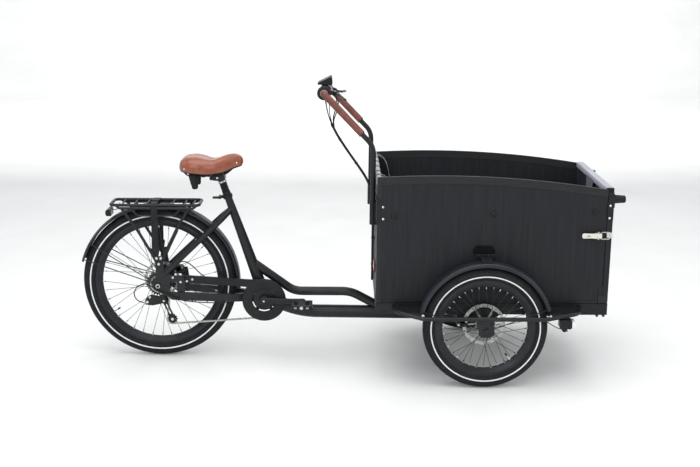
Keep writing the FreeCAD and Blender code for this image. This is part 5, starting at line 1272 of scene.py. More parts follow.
def build_box():
    """Box: side and rear panels with their trims, plugs and screws, the floor and the rails."""
    corner = [(1888, 339.5)] + arc((1931, 385), 43, 180, 128, 8)
    right_end = corner + [(1904.5, 420), (1906, 424)]
    outline = [(955, 339)] + right_end + arch(0.6)[::-1]
    panel = Shape().plate_xz(outline, -SIDE_Y, -SIDE_Y + 12)
    make("side_panel_right", panel, "wood", "front", ["box_side_right"], bevel=1.0)
    make("side_panel_left", panel.flipped(), "wood", "front", ["box_side_left"], bevel=1.0)

    trims = Shape()
    trims.plate_xz(arch(31) + arch(0.8)[::-1], -SIDE_Y - 1.6, -SIDE_Y + 0.5)
    trims.plate_xz(arch(31, 968) + arch(0.8, 968)[::-1], -SIDE_Y + 11.6, -SIDE_Y + 13.2)
    trims.plate_xz([(955, 339), (973, 339), (973, 842), (955, 842)], -SIDE_Y - 1.0, -SIDE_Y + 0.5)
    make("side_borders", trims.both(), "ply_edge", "front", bevel=0.6)
    caps = Shape()
    caps.plate_xz(arch(4) + arch(-1.2)[::-1], -SIDE_Y - 2.2, -SIDE_Y + 13.2)
    make("side_top_edges", caps.both(), "ply_edge", "front", bevel=1.4, segments=3)

    skirt = Shape()
    skirt.block((974, 1886), (-SIDE_Y - 1.6, -SIDE_Y + 0.3), (339.6, 351))
    make("side_foot_strips", skirt.both(), "rail_black", "front", bevel=0.6)

    rear = Shape()
    rear.block((952, 969), (-SIDE_Y - 3.2, -SIDE_Y), (682, 782))
    rear.block((952, 955), (-SIDE_Y - 3.2, -190), (682, 782))
    rear.block((952, 960), (-SIDE_Y - 3.8, -SIDE_Y - 1.5), (676, 788))
    make("handlebar_brackets", rear.both(), "alloy_black", "front", bevel=1.4)
    bright = Shape()
    for x, z in ((979, 750), (980, 699)):
        bright.lathe([(0.3, 3.6), (2.6, 3.4), (4.6, 2.2), (5.2, 0.6), (5.2, -1), (0.3, -1)],
                     at(x, -SIDE_Y, z), OUTWARD, 24, closed=False)
    make("bracket_bolts", bright.both(), "zinc", "front")
    screws = Shape()
    for x, z in ((1016, 528), (1233, 503), (1692, 532)):
        screws.lathe([(0.3, 1.6), (2.2, 1.6), (2.4, 0.9), (3.4, 0.9), (5.2, 0.2), (5.4, -1), (0.3, -1)],
                     at(x, -SIDE_Y, z), OUTWARD, 24, closed=False)
    for x in (1120, 1560):
        screws.lathe([(0.3, 1.4), (2.2, 1.4), (3.6, 0.8), (4.4, -1), (0.3, -1)],
                     at(x, -SIDE_Y - 1.6, 345.5), OUTWARD, 20, closed=False)
    make("panel_screws", screws.both(), "alloy_black", "front")
    plugs = Shape()
    for x, z in ((1025, 712), (1438, 723), (1856, 734)):
        plugs.lathe([(0.3, 5.4), (5, 5.6), (9, 4.8), (11.6, 2.6), (12.4, -1), (0.3, -1)], at(x, -SIDE_Y, z),
                    OUTWARD, 36, closed=False)
        plugs.lathe([(12.4, 0.0), (14.4, 0.0), (14.4, 0.9), (12.4, 1.3)], at(x, -SIDE_Y, z), OUTWARD, 36)
    make("side_plugs", plugs.both(), "plastic_gloss", "front")

    back = Shape().block((955.2, 967), (-299.8, 299.8), (338.5, 864))
    make("rear_panel_board", back, "wood", "front", ["box_rear_panel"], bevel=1.0)
    top = Shape()
    top.plate_xz([(952.2, 842), (952.2, 868), (954.5, 873), (959, 874.6), (966, 874.6), (970, 872),
                  (971.8, 868), (971.8, 842)],
                 -299.5, 299.5)
    make("rear_panel_cover", top, "pale_rail", "front", bevel=1.2)
    bands = Shape()
    for y in (-246, -166, -60, 60, 166, 246):
        path = [at(951.4, y, 838), at(951.4, y, 866), at(955, y, 874), at(961, y, 875.4), at(968, y, 874.4),
                at(972.8, y, 866), at(972.8, y, 838)]
        bands.ribbon(path, (0, 1, 0), 8, 1.6)
    make("cover_bands", bands, "webbing", "front", bevel=0.3)
    sleeves = Shape()
    for side in (-1, 1):
        c = at(940, side * 200, 650)
        sleeves.lathe([(11.2, 0), (13.2, 0), (13.6, 1), (13.6, 104), (14.2, 104), (14.2, 108), (11.2, 108)],
                      c, Z_AXIS, 36)
        sleeves.block((946, 955), (side * 200 - 12, side * 200 + 12), (658, 749))
        sleeves.rod(at(940, side * 200, 649), at(940, side * 200, 652), 10.8, steps=24, chamfer=0.8)
    make("handlebar_sleeves", sleeves, "alloy_black", "front", bevel=0.6)
    reflector = Shape()
    reflector.block((947.4, 951), (-188, -112), (438, 472))
    make("rear_reflector", reflector, "red", "front", bevel=1.2)
    frame_ring = Shape().block((950, 955.2), (-192, -108), (434, 476))
    make("rear_reflector_frame", frame_ring, "plastic", "front", bevel=1.5)

    # Box floor in the darker ply: painted shade inside the box.
    dress("box_floor", "wood_level_shaded")
    floor_strips = Shape()
    for y in range(-240, 241, 80):
        floor_strips.block((1270, 1880), (y - 5, y + 5), (350, 352))
    make("floor_strips", floor_strips, "rubber", "front", bevel=0.8)
    dress("front_subframe", "rail_black")
    outer = Shape()
    for side in (-1, 1):
        outer.block((958, 1929), tuple(sorted((side * SIDE_Y, side * (SIDE_Y + 1.2)))), (332, 336.5))
    make("rail_ridges", outer, "rail_black", "front", bevel=0.5)
    rail_bolts = Shape()
    for x in (990, 1110, 1500, 1640, 1850, 1895):
        rail_bolts.bolt(at(x, -SIDE_Y, 300 if x < 1880 else 306), OUTWARD, 4, 2, False)
    make("rail_bolts", rail_bolts.both(), "alloy_black", "front")
    feet = Shape()
    for x in (1893, 1920):
        feet.rod(at(x, -300, 277), at(x, -300, 288.5), 6, steps=6, chamfer=1)
    make("rail_foot_nuts", feet.both(), "alloy_black", "front")


def build_bench():
    """Bench with its pad, and the belts that hang into the box; the pale strips on the belt edges are painted
    highlights.
    """
    # Bench board and battens in the darker ply: painted shade inside the box.
    board = Shape().block((967.6, 1257), (-298.6, 298.6), (560.2, 571.8))
    make("bench_board", board, "wood_level_shaded", "front", ["bench_seat"], bevel=1.5)
    batten = Shape().block((968, 1247), (-299.6, -275.4), (535, 560))
    make("bench_battens", batten.both(), "wood_level_shaded", "front", bevel=1.2)
    seat = []
    cols, rows = 14, 8
    x0, x1, y0, y1 = 972.0, 1250.0, -290.0, 290.0
    for layer in (0, 1):
        for i in range(cols + 1):
            for j in range(rows + 1):
                y = y0 + (y1 - y0) * i / cols
                x = x0 + (x1 - x0) * j / rows
                ey = min(i, cols - i) / cols * 2
                ex = min(j, rows - j) / rows * 2
                crown = (min(1, ey * 3) ** 0.6) * (min(1, ex * 2.4) ** 0.6)
                groove = 0.72 if i % 5 == 2 and 0 < j < rows else 1.0
                z = 572.5 + (3 + 34 * crown * groove if layer else 0)
                pull = 5 * (1 - min(1, ey * 3)) * (1 if layer else 0)
                seat.append(at(x, y * (1 - pull / 600), z))
    n = (cols + 1) * (rows + 1)
    faces = []
    for i in range(cols):
        for j in range(rows):
            a = i * (rows + 1) + j
            faces.append((a, a + 1, a + rows + 2, a + rows + 1))
            faces.append((n + a, n + a + rows + 1, n + a + rows + 2, n + a + 1))
    rim = [i * (rows + 1) for i in range(cols + 1)] + [cols * (rows + 1) + j for j in range(1, rows + 1)]
    rim += [i * (rows + 1) + rows for i in range(cols - 1, -1, -1)] + [j for j in range(rows - 1, 0, -1)]
    for a, b in zip(rim, rim[1:] + rim[:1]):
        faces.append((a, b, n + b, n + a))
    pad = make("bench_pad", Shape().add(seat, faces), "pale_rail", "front", subdiv=2)

    belts = Shape()
    edges = Shape()
    for y, lean in ((-246, 10), (-166, -6), (-60, 8), (60, -8), (166, 6), (246, -10)):
        path = curved([at(973.2, y, 866), at(975, y, 836), at(981, y + lean * 0.4, 780),
                       at(990, y + lean, 700), at(1004, y + lean, 640), at(1030, y + lean, 616)], 8)
        belts.ribbon(path, (0, 1, 0), 11, 1.8)
        # Pale strips along both edges of each belt: painted highlights.
        for s in (-1, 1):
            edges.ribbon([p + Vector((0, s * 10.6, 0)) * MM for p in path], (0, 1, 0), 1.5, 2.6)
    make("child_belts", belts, "webbing", "front", bevel=0.3)
    make("child_belt_edge_highlights", edges, "painted_edge_highlight", "front")
    loops = Shape()
    for y in (-268, -228, 228, 268):
        path = curved([at(966, y, 872), at(984, y + 3, 866), at(1004, y + 8, 846), at(1018, y + 14, 812),
                       at(1026, y + 12, 770), at(1022, y + 4, 726)], 8)
        loops.ribbon(path, (0.15, 1, 0), 6, 1.4)
    make("belt_loops", loops, "webbing", "front")
    # Pale strip along each belt loop: a painted highlight on its edge.
    pale = Shape()
    for y in (-268, -228, 228, 268):
        path = curved([at(966, y - 6, 872.6), at(985, y - 3, 866.6), at(1005, y + 2, 846.6),
                       at(1019, y + 8, 812), at(1027, y + 6, 770)], 8)
        pale.ribbon(path, (0.15, 1, 0), 1.2, 1.6)
    make("belt_loop_edge_highlights", pale, "painted_edge_highlight", "front")
    buckles = Shape()
    for y in (-236, -172, 236, 172):
        buckles.block((1008, 1032), (y - 13, y + 13), (612, 622))
    make("belt_buckles", buckles, "plastic", "front", bevel=2.5)


def build_door():
    """Folding front door: board, cover, a lighter tab that is a painted highlight, cheeks, foot plates with a
    lighter arc that is a painted highlight, brackets, feet and hinges.
    """
    board = Shape().block((1908.2, 1931.6), (-SIDE_Y + 0.2, SIDE_Y - 0.2), (341, 815))
    make("door_board", board, "wood", "door", ["front_door"], bevel=1.2)
    lining = Shape().block((1906.8, 1908.6), (-297, 297), (352, 812))
    make("door_lining", lining, "lining", "door", bevel=0.5)
    top = Shape()
    top.plate_xz([(1898.2, 811), (1898.2, 830), (1901, 834.2), (1906, 835), (1928, 834.2), (1933, 830),
                  (1933.8, 811)],
                 -297.8, 297.8)
    make("door_cover", top, "door_cap", "door", bevel=1.4)
    ends = Shape()
    ends.plate_xz([(1899, 811.5), (1899, 829), (1903, 834), (1930, 834), (1933, 829), (1933, 811.5)],
                  -299.4, -296)
    make("door_cover_ends", ends.both(), "rubber", "door", bevel=1.0)
    # Small lighter triangular flap inside the door top: a painted highlight, not a part.
    tab = Shape()
    rows = 9
    for i in range(rows):
        t = i / (rows - 1)
        half = 70 * (1 - 0.75 * t)
        z = 818 - 130 * t
        x = 1896.8 - 3 * math.sin(t * math.pi)
        tab.verts += [at(x, -half, z), at(x, half, z)]
    tab.verts += [v + Vector((0.0014, 0, 0)) for v in tab.verts]
    n = rows * 2
    for i in range(rows - 1):
        a = i * 2
        tab.faces += [[a, a + 1, a + 3, a + 2], [n + a, n + a + 2, n + a + 3, n + a + 1],
                      [a, a + 2, n + a + 2, n + a], [a + 1, n + a + 1, n + a + 3, a + 3]]
    tab.faces += [[0, n, n + 1, 1], [n - 2, n - 1, 2 * n - 1, 2 * n - 2]]
    highlight_tab = make("door_highlight_tab", tab, "tab_highlight", "door")

    cheek = Shape()
    outline = [(1889, 340), (1907.9, 340), (1907.9, 421)] + arc((1931, 385), 42, 124, 180, 8)
    cheek.plate_xz(outline, -SIDE_Y + 0.2, -SIDE_Y + 11)
    make("door_cheeks", cheek.both(), "rail_black", "door", bevel=1.0)
    plates = Shape()
    plates.plate_xz([(1889.5, 340.5), (1931, 340.5), (1931, 374), (1889.5, 374)], -SIDE_Y - 1.5,
                    -SIDE_Y + 0.4)
    # Thin lighter arc along the curved corner: a painted highlight on the edge; the flat plate above is a
    # real part.
    plates.plate_xz(arc((1931, 385), 43, 128, 180, 10) + arc((1931, 385), 40.5, 180, 128, 10),
                    -SIDE_Y - 1.2, -SIDE_Y + 0.4)
    make("door_foot_plates_and_arc_highlights", plates.both(), "ply_edge", "door", bevel=0.7)

    hardware = Shape()
    hardware.plate_xz([(1911, 700), (1931.8, 700), (1931.8, 801), (1911, 801), (1907, 780), (1907, 716)],
                      -SIDE_Y - 3, -SIDE_Y)
    hardware.block((1931.6, 1934.8), (-SIDE_Y - 3, -SIDE_Y + 60), (753, 808))
    hardware.block((1906, 1914), (-SIDE_Y - 4, -SIDE_Y - 1), (724, 752))
    make("door_brackets", hardware.both(), "alloy_black", "door", bevel=1.2)
    feet = Shape()
    feet.lathe([(0.5, 0), (19, 0), (19.4, 2), (18.6, 5), (17.2, 20), (15.6, 38), (14.8, 46), (13.2, 49.2),
                (0.5, 49.8)],
               at(1935, -282, 783), (1, 0, 0), 40, closed=False)
    make("door_rubber_feet", feet.both(), "rubber", "door")
    ring = Shape().lathe([(15.2, 41), (16.2, 41), (16, 46), (15, 46)], at(1935, -282, 783), (1, 0, 0), 40)
    make("foot_rings", ring.both(), "plastic_gloss", "door")
    bright = Shape()
    for x, z in ((1917, 762), (1916, 709)):
        bright.lathe([(0.3, 3.0), (2.6, 2.8), (4.4, 1.7), (5.0, 0), (5.0, -1), (0.3, -1)],
                     at(x, -SIDE_Y - 3, z), OUTWARD, 24, closed=False)
    make("door_bolts", bright.both(), "zinc", "door")

    catch = Shape()
    catch.block((1910, 1932), (-SIDE_Y - 1.6, -SIDE_Y), (625, 647))
    catch.block((1925, 1933.8), (-SIDE_Y - 2.6, -SIDE_Y), (627, 645))
    catch.block((1931.8, 1933.8), (-SIDE_Y - 2.6, -SIDE_Y + 26), (627, 645))
    make("catch_plates", catch.both(), "cream", "door", bevel=0.6)
    inner_hinges = Shape()
    for y in (-220, 0, 220):
        hinge = at(1935, y, 339)
        inner_hinges.block((1931.8, 1933.4), (y - 30, y + 30), (342, 373))
        inner_hinges.lathe([(1.32, -12), (3.0, -12), (3.0, 12), (1.32, 12)], hinge, Y_AXIS, 24)
        for dy in (-20, 20):
            inner_hinges.bolt(at(1933.2, y + dy, 360), (1, 0, 0), 2.2, 0.8, False)
    make("door_hinge_leaves", inner_hinges, "alloy_black", "door", bevel=0.3)
    ribs = Shape()
    for z0, z1 in ((470, 476), (620, 626)):
        ribs.block((1931.4, 1933), (-300, 300), (z0, z1))
    make("door_face_ribs", ribs, "ply_edge", "door", bevel=0.6)


def build_latches():
    """Latch lever, wire bail and base on each side."""
    for tag, side in (("right", -1), ("left", 1)):
        lever = Shape()
        y0 = -329.0
        outline = [(1806, 627.8), (1804.6, 636), (1806, 644.2), (1812, 647), (1850, 646), (1862, 648),
                   (1884, 648), (1887, 644),
                   (1887, 628), (1884, 624), (1862, 624), (1850, 626), (1812, 625)]
        lever.plate_xz(outline, y0, y0 + 1.6)
        for z0, z1 in ((624, 626.4), (645.6, 648)):
            lever.block((1860, 1886), (y0, y0 + 6), (z0, z1))
        lever.lathe([(2.1, -8.4), (4.8, -8.4), (4.8, 8.4), (2.1, 8.4)], at(1882, -324, 636), Z_AXIS, 24)
        lever.plate_xz([(1818, 631), (1846, 631), (1846, 641), (1818, 641)], y0 - 0.7, y0 + 0.5)
        shape = lever if side < 0 else lever.flipped()
        make("latch_handle_" + tag, shape, "cream", "latch_lever_" + tag, ["latch_lever_" + tag],
             bevel=0.7, segments=3)
        slot = Shape().block((1826, 1839), (y0 - 1.0, y0 - 0.4), (634.4, 637.6))
        make("latch_slot_" + tag, slot if side < 0 else slot.flipped(), "plastic", "latch_lever_" + tag,
             bevel=0.3)
        wire = Shape()
        path = rounded([at(1873, -323, 621.6), at(1915, -323, 621.6), at(1922, -321.2, 625),
                        at(1922, -321.2, 647), at(1915, -323, 650.4), at(1873, -323, 650.4)], 4.0)
        wire.sweep(path, 2.0, 12)
        for z in (621.6, 650.4):
            wire.lathe([(1.6, -2.2), (3.6, -2.2), (3.6, 2.2), (1.6, 2.2)], at(1873, -323, z), Z_AXIS, 20)
        make("latch_wire_" + tag, wire if side < 0 else wire.flipped(), "steel", "latch_bail_" + tag,
             ["latch_bail_" + tag])
        base = Shape()
        base.plate_xz([(1818, 623), (1814, 630), (1814, 642), (1818, 649), (1890, 649), (1890, 623)], -314,
                      -SIDE_Y)
        for z0, z1 in ((621.8, 624), (648, 650.2)):
            base.block((1876, 1888), (-328, -SIDE_Y), (z0 - 3, z1 - 3) if z0 < 636 else (z0 + 3, z1 + 3))
        make("latch_base_" + tag, base if side < 0 else base.flipped(), "plastic", "front", bevel=0.6)


# ---------------------------------------------------------------- outriggers, mudguards
def build_outriggers():
    """Step plates, wheel nuts and struts on the outrigger bars."""
    dress("outrigger_bars", "paint")
    ends = Shape()
    for outline in ([(1048, -313), (1042, -380), (1056, -400), (1140, -428), (1152, -420), (1152, -342),
                     (1130, -313)],
                    [(1793, -313), (1799, -380), (1785, -400), (1668, -428), (1658, -420), (1658, -342),
                     (1680, -313)]):
        ends.prism([at(x, y, 317) for x, y in outline], Vector((0, 0, 7)) * MM)
    make("outrigger_steps", ends.both(), "plastic", "front", bevel=2.2, segments=3)
    ribs = Shape()
    for k in range(6):
        ribs.block((1072 + 12 * k, 1077 + 12 * k), (-404, -326), (324, 325.4))
        ribs.block((1674 + 14 * k, 1680 + 14 * k), (-404, -326), (324, 325.4))
    make("outrigger_step_ribs", ribs.both(), "rubber", "front", bevel=0.5)
    nuts = Shape()
    for y0, y1 in ((-439.8, -433), (-327, -320.4)):
        nuts.rod(at(WHEELBASE, y0, FRONT_AXLE_Z), at(WHEELBASE, y1, FRONT_AXLE_Z), 11, steps=6, chamfer=1.2)
    nuts.rod(at(WHEELBASE, -439.9, FRONT_AXLE_Z), at(WHEELBASE, -436, FRONT_AXLE_Z), 6.5, steps=20,
             chamfer=0.8)
    for dx, z in ((-20, 285), (20, 285), (0, 236)):
        nuts.bolt(at(WHEELBASE + dx, -434, z), OUTWARD, 3.6, 2.2, False)
    make("wheel_nuts", nuts.both(), "alloy_black", "front", angle=25)
    strut = Shape()
    strut.block((1545, 1655), (-318, -312.2), (296, 301))
    strut.rod(at(1664, -420, 300), at(1664, -420, 312), 6, steps=24, chamfer=1)
    make("outrigger_struts", strut.both(), "alloy_black", "front", bevel=0.8)
    bright = Shape()
    bright.bolt(at(1672, -426, 316), OUTWARD, 4.4, 2.5, False)
    bright.bolt(at(1146, -426, 316), OUTWARD, 4.4, 2.5, False)
    make("outrigger_bolts", bright.both(), "zinc", "front")


def build_front_mudguards():
    """Front mudguards with their brackets and stays, and a near-black patch above each bracket as painted
    shade.
    """
    outer = [(266.5, -30.4), (272, -30.6), (278.6, -28.8), (282.6, -23), (284.8, -12), (285.5, 0)]
    inner = [(266.5, 28.9), (271.6, 29), (277.5, 27.4), (281.2, 22), (283.3, 11.5), (283.9, 0)]
    profile = outer + [(r, -y) for r, y in outer[-2::-1]] + inner + [(r, -y) for r, y in inner[-2::-1]]
    guard = Shape()
    guard.lathe(profile, at(WHEELBASE, -HALF_TRACK, FRONT_AXLE_Z), OUTWARD, 96, 17, 149)
    make("front_mudguard_skins", guard.both(), "mudguard", "front", ["front_mudguards"], angle=50)
    bracket = Shape()
    bracket.block((1385, 1433), (-402, -SIDE_Y), (539.2, 543.4))
    bracket.plate_xz([(1370, 534), (1448, 534), (1452, 545), (1446, 554), (1372, 554), (1366, 545)],
                     -SIDE_Y - 6, -SIDE_Y)
    # Near-black patch above each mudguard bracket: painted shade, standing in for the mudguard's shadow on
    # the side panel.
    pad = Shape().plate_xz([(1358, 556), (1448, 556), (1448, 572), (1436, 588), (1370, 588), (1358, 574)],
                           -SIDE_Y - 9, -SIDE_Y)
    make("mudguard_bracket_painted_shade", pad.both(), "painted_shade_black", "front", bevel=3.0, segments=3)
    make("mudguard_brackets", bracket.both(), "plastic", "front", bevel=2.0, segments=3)
    bolts = Shape()
    for x in (1380, 1400, 1420, 1440):
        bolts.bolt(at(x, -SIDE_Y - 6, 548), OUTWARD, 4.6, 2.6, False)
    for x in (1395, 1423):
        bolts.bolt(at(x, -370, 543), (0, 0, 1), 4.0, 2.0, False)
    make("mudguard_bolts", bolts.both(), "spoke", "front")
    stays = Shape()
    for dx, ang in ((-1, 164), (1, 19)):
        a = math.radians(ang)
        end = at(WHEELBASE + 268 * math.cos(a), -HALF_TRACK - 31, FRONT_AXLE_Z + 268 * math.sin(a))
        stays.sweep([at(WHEELBASE + 24 * dx, -434, 262), end], 2.0, 10)
        stays.bolt(end, OUTWARD, 2.6, 1.6, False)
    make("front_mudguard_stays", stays.both(), "alloy_black", "front")


# ---------------------------------------------------------------- handlebar
def build_handlebar():
    """Handlebar with its leather wraps, stitches and rings; the pale ring at each wrap's upper end is a
    painted highlight.
    """
    dress("handlebar", "paint")
    bend = at(940, -200, 984)
    top = at(733, -200, 1200)
    slope = (top - bend).normalized()
    start = bend + slope * 71 * MM
    end = top - slope * 17 * MM
    length = (end - start).length / MM
    profile = [(11.1, 0), (12.6, 0), (14.0, 1.2), (14.4, 3)]
    waves = 26
    for i in range(1, waves):
        h = 3 + (length - 6) * i / waves
        profile.append((14.35 + (0.12 if i % 2 else -0.14), h))
    profile += [(14.4, length - 3), (14.0, length - 1.2), (12.6, length), (11.1, length)]
    wrap = Shape().lathe(profile, start, slope, 40)
    make("leather_wraps", wrap.both(), "grip", "front", ["handlebar_grips"], angle=60)
    side = slope.cross(Y_AXIS).normalized()
    seam = Shape()
    lip = Shape()
    count = int(length / 5.5)
    for i in range(count):
        p = start + slope * (4 + 5.5 * i) * MM
        base = p - side * 14.2 * MM
        seam.rod(base - Y_AXIS * 2.2 * MM, base + Y_AXIS * 2.2 * MM + slope * 2.4 * MM, 0.55, steps=6)
    lip.sweep([start - side * 14.0 * MM + slope * 2 * MM, end - side * 14.0 * MM - slope * 2 * MM], 1.1, 8)
    make("wrap_stitches", seam.both(), "thread", "front")
    make("wrap_seams", lip.both(), "saddle_edge", "front")
    rings = Shape()
    rings.lathe([(11.1, 0), (14.6, 0), (15.0, 1), (15.0, 3), (14.6, 4), (11.1, 4)],
                start - slope * 2.5 * MM, slope, 36)
    make("wrap_end_rings", rings.both(), "rubber", "front")
    # Pale ring at the upper end of each wrap: a painted highlight round the bar's bend.
    pale = Shape()
    pale.lathe([(11.2, 0), (15.4, 0), (16.0, 1.2), (15.8, 4), (14.5, 5), (11.2, 5)], at(733, -191.5, 1200),
               Y_AXIS, 32)
    corner = rounded([end - slope * 1 * MM, top, at(733, -190, 1200)], 16, 10)
    wrapped = Shape().sweep(corner, 14.3, 32, flat_dir=slope.cross(Y_AXIS).normalized())
    make("leather_corners", wrapped.both(), "grip", "front", angle=60)
    make("bar_end_highlight_rings", pale.both(), "pale_rail", "front")


def build_cockpit():
    """Twist shifter, display, and the two brake levers with their perches."""
    rubber = Shape()
    centre = at(733, -167.5, 1200)
    profile = [(11.3, -15.4), (26, -15.4), (28, -14)]
    for i in range(9):
        h = -12 + 24 * i / 8
        profile.append((28.9 if i % 2 else 27.6, h))
    profile += [(28, 14), (26, 15.4), (11.3, 15.4)]
    rubber.lathe(profile, centre, Y_AXIS, 64)
    make("shifter_twist_ring", rubber, "rubber", "shifter_ring", ["shifter_ring"], angle=50)
    ribs = Shape()
    for k in range(24):
        a = 2 * math.pi * k / 24
        out = Vector((math.cos(a), 0, math.sin(a)))
        p = centre + out * 27.2 * MM
        ribs.rod(p - Y_AXIS * 11 * MM, p + Y_AXIS * 11 * MM, 1.7, steps=8, chamfer=0.5)
    make("shifter_ring_ribs", ribs, "rubber", "shifter_ring")

    case = Shape()
    case.lathe([(11.2, 0), (21, 0), (22, 1.5), (22, 16), (20, 19.3), (11.2, 19.3)], at(733, -151.4, 1200),
               Y_AXIS, 48)
    case.block((722, 752), (-150, -134), (1172, 1190))
    display = Shape()
    display.plate_xz([(704, 1220), (703, 1226), (758, 1253), (764, 1253), (767, 1222), (764, 1219)], -42, 42)
    make("display_case", display, "plastic", "front", ["cockpit"], bevel=2.0, segments=3)
    glass = Shape()
    a, b = at(708, -37, 1228.45), at(753, -37, 1250.55)
    n = (b - a).cross(Y_AXIS).normalized()
    if n.z < 0:
        n = -n
    low = -0.0004
    glass.prism([a + n * low, b + n * low, b + n * low + Y_AXIS * 0.074, a + n * low + Y_AXIS * 0.074],
                n * 0.0012)
    make("display_glass", glass, "screen", "front", bevel=0.4)
    mount = Shape()
    mount.lathe([(11.2, -17.5), (15, -17.5), (15.6, -16), (15.6, 16), (15, 17.5), (11.2, 17.5)],
                at(733, 0, 1200), Y_AXIS, 36)
    mount.plate_xz([(724, 1210), (744, 1209), (752, 1221), (726, 1221)], -12, 12)
    mount.rod(at(742, -15, 1214), at(742, 15, 1214), 4.5, steps=16, chamfer=0.8)
    make("display_mount", mount, "plastic", "front", bevel=1.2)
    make("shifter_case", case, "plastic", "front", bevel=1.0)

    tilt = math.radians(18)
    d = Vector((math.cos(tilt), 0, -math.sin(tilt)))
    n = Vector((math.sin(tilt), 0, math.cos(tilt)))
    for tag, side in (("right", 1), ("left", -1)):
        def local(x, y, z):
            """Point near the bar: x outward along it, y ahead and down the tilt, z square to both."""
            p = at(733, -62, 1200) + (Vector(OUTWARD) * x + d * y + n * z) * MM
            return p if side > 0 else Vector((p.x, -p.y, p.z))
        perch = Shape()
        for z0 in (-9, 5.2):
            outline = [local(x, y, z0) for x, y in ((-12, 11), (12, 11), (14, 28), (9, 49), (4, 53),
                                                    (-4, 53), (-9, 49), (-13, 28))]
            perch.prism(outline, n * 3.8 * MM)
        perch.sweep(curved([local(-8, 24, 0), local(-20, 29, 0), local(-42, 29, 0), local(-53, 27, 0)], 5),
                    8.5, 18)
        axis = Vector(OUTWARD) if side > 0 else Vector((0, 1, 0))
        perch.lathe([(11.2, -12), (15.6, -12), (16.2, -11), (16.2, 11), (15.6, 12), (11.2, 12)],
                    local(0, 0, 0), axis, 32)
        make("brake_perch_" + tag, perch, "alloy_black", "front", bevel=1.0)
        blade = Shape()
        spine = [local(-1, 44, 0), local(6, 58, 0), local(20, 72, 0), local(50, 81, 0), local(80, 88, 0),
                 local(95, 91, 0), local(101, 90.5, 0)]
        taper = [0.8, 0.95, 1.0, 0.95, 0.9, 1.0, 0.7]
        path = curved(spine, 6)
        sizes = []
        for i in range(len(path)):
            f = i / (len(path) - 1) * (len(taper) - 1)
            k = min(int(f), len(taper) - 2)
            sizes.append(taper[k] + (taper[k + 1] - taper[k]) * (f - k))
        blade.sweep(path, 8.0, 16, squash=0.62, flat_dir=n, taper=sizes)
        blade.lathe([(3.1, -4.8), (7.4, -4.8), (7.8, -4), (7.8, 4), (7.4, 4.8), (3.1, 4.8)],
                    local(0, 44, 0), n, 24)
        make("brake_blade_" + tag, blade, "alloy_black", "brake_lever_" + tag, ["brake_lever_" + tag])
        screws = Shape()
        screws.bolt(local(0, 44, 9), n, 3.8, 1.6, False)
        screws.bolt(local(-40, 29, 8.2), n, 3.4, 1.4, False)
        screws.bolt(local(-14, 27, 8.0), n, 3.0, 1.4, False)
        screws.bolt(local(0, -15, 0), -d, 2.8, 1.2, False)
        make("brake_perch_screws_" + tag, screws, "steel", "front")


def build_loom():
    """Cables and hoses from the handlebar, gathered in one sleeve, with clips."""
    trunk = [at(762, 0, 1050), at(782, 0, 1008), at(816, 0, 955), at(852, 0, 903), at(890, 0, 850),
             at(922, 0, 800),
             at(943, 0, 744), at(947, 0, 684), at(947, 0, 600), at(947, 0, 480), at(947, 0, 346)]
    main = cable("loom_sleeve", trunk, 5.6, "front")
    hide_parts("cable_loom")
    strands = (
        ("shifter", [at(737, -142, 1174), at(741, -128, 1148), at(745, -84, 1116), at(749, -28, 1092),
                     at(756, -4, 1066), at(770, -3, 1034)], 2.4),
        ("brake_right", [at(762, -8, 1190), at(780, -7, 1174), at(786, -6, 1140), at(777, -5, 1100),
                         at(767, -3, 1064), at(776, -2, 1022)], 2.5),
        ("brake_left", [at(762, 8, 1190), at(786, 8, 1166), at(794, 7, 1128), at(782, 5, 1090),
                        at(769, 3, 1058), at(777, 2, 1018)], 2.5),
        ("display", [at(742, 0, 1219), at(756, 4, 1196), at(757, 5, 1158), at(752, 4, 1118), at(756, 3, 1078),
                     at(768, 2, 1040)], 1.8),
        ("bell", [at(733, 30, 1186), at(737, 24, 1160), at(740, 14, 1126), at(746, 6, 1092), at(758, 3, 1056),
                  at(772, 1, 1028)], 1.8),
    )
    for tag, points, radius in strands:
        cable("loom_" + tag, points, radius, "front")
    clips = Shape()
    for x, z, dx, dz in ((767, 1040, 0.42, -0.91), (800, 980, 0.55, -0.83), (871, 876, 0.58, -0.81),
                         (934, 772, 0.35, -0.94)):
        clips.lathe([(5.4, -3), (7.2, -2.4), (7.2, 2.4), (5.4, 3)], at(x, 0, z), (dx, 0, dz), 24)
    for z in (660, 540, 420):
        clips.lathe([(5.4, -5), (6.8, -4), (6.8, 4), (5.4, 5)], at(947, 0, z), (0, 0, 1), 24)
        clips.block((949, 955.4), (-11, 11), (z - 4, z + 4))
    make("loom_clips", clips, "plastic", "front", bevel=0.5)


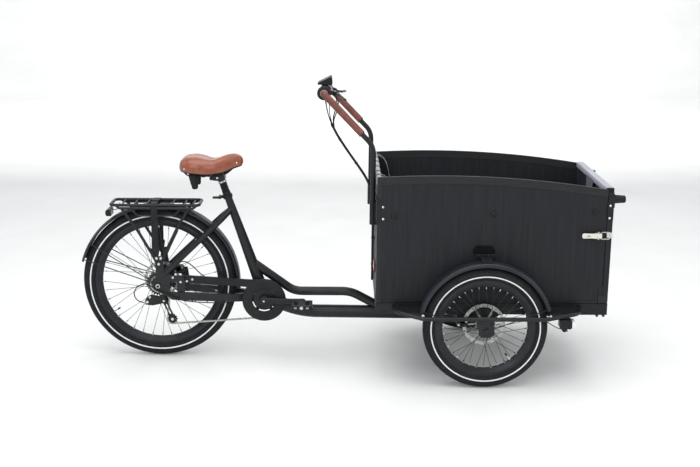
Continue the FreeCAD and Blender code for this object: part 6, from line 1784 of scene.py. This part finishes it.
# ---------------------------------------------------------------- studio
def build_studio():
    """Pale floor that curves up into a backdrop, with soft area lights; all in metres."""
    half_width, front, back, cove, height = 16.0, -9.0, 9.0, 3.0, 12.0
    verts = []
    faces = []
    profile = [(front, 0.0), (back, 0.0)]
    for k in range(1, 13):
        a = math.radians(90 * k / 12)
        profile.append((back + cove * math.sin(a), cove * (1 - math.cos(a))))
    profile.append((back + cove, height))
    for y, z in profile:
        verts += [(-half_width, y, z), (half_width, y, z)]
    for i in range(len(profile) - 1):
        faces.append((i * 2, i * 2 + 1, i * 2 + 3, i * 2 + 2))
    mesh = bpy.data.meshes.new("studio_floor")
    mesh.from_pydata(verts, [], faces)
    mesh.polygons.foreach_set("use_smooth", [True] * len(mesh.polygons))
    floor = bpy.data.objects.new("studio_floor", mesh)
    scene.collection.objects.link(floor)
    mesh.materials.append(LOOKS["floor"])

    world = bpy.data.worlds.new("studio")
    world.use_nodes = True
    background = world.node_tree.nodes["Background"]
    background.inputs["Color"].default_value = (0.93, 0.96, 1.0, 1)
    background.inputs["Strength"].default_value = 0.55
    scene.world = world

    def light(name, place, target, width, height, power, colour=(1, 1, 1)):
        """Rectangular area light aimed at a target."""
        data = bpy.data.lights.new(name, "AREA")
        data.shape = "RECTANGLE"
        data.size = width
        data.size_y = height
        data.energy = power
        data.color = colour
        obj = bpy.data.objects.new(name, data)
        obj.location = place
        obj.rotation_euler = (Vector(target) - Vector(place)).to_track_quat("-Z", "Y").to_euler()
        scene.collection.objects.link(obj)

    light("overhead", (0.2, -0.6, 4.6), (0, -0.3, 0), 6.0, 5.0, 205)
    light("front_fill", (-1.5, -5.5, 3.0), (0, 0, 0.6), 4.5, 3.0, 120, (0.95, 0.98, 1.0))
    light("front_side", (5.0, -2.5, 2.6), (0.6, 0, 0.5), 3.0, 3.0, 70)
    light("rear_side", (-5.0, 1.0, 3.0), (-0.5, 0, 0.6), 3.0, 3.0, 28)
    light("back_wall", (0, 4.5, 4.5), (0, 11.0, 3.5), 12.0, 4.0, 620)


def build_camera():
    """Camera at the photograph's viewing angle: place in metres, focal length in pixels of the image."""
    place = Vector((-0.01145, -4.75, 1.758))
    focal_pixels, image_width, sensor = 1104.0, 700.0, 36.0
    yaw, pitch, roll = math.radians(0.45), math.radians(14.08), math.radians(-0.44)
    ahead = Vector((math.sin(yaw) * math.cos(pitch), math.cos(yaw) * math.cos(pitch), -math.sin(pitch)))
    right = Vector((math.cos(yaw), -math.sin(yaw), 0))
    down = ahead.cross(right)
    right_rolled = right * math.cos(roll) + down * math.sin(roll)
    down_rolled = down * math.cos(roll) - right * math.sin(roll)
    data = bpy.data.cameras.new("camera")
    data.sensor_width = sensor
    data.lens = focal_pixels * sensor / image_width
    camera = bpy.data.objects.new("camera", data)
    turn = Matrix((right_rolled, -down_rolled, -ahead)).transposed()
    camera.matrix_world = Matrix.Translation(place) @ turn.to_4x4()
    scene.collection.objects.link(camera)
    scene.camera = camera


for build in (
        build_camera, build_wheels, build_frame, build_mudguard_parts, build_rack, build_lamps,
        build_chain, build_sprockets, build_derailleur, build_crank, build_pedals, build_guard,
        build_brakes, build_saddle, build_post, build_box, build_bench, build_door, build_latches,
        build_outriggers, build_front_mudguards, build_handlebar, build_cockpit, build_loom,
        build_studio):
    build()
scene.view_settings.view_transform = "Standard"

bpy.context.view_layer.update()
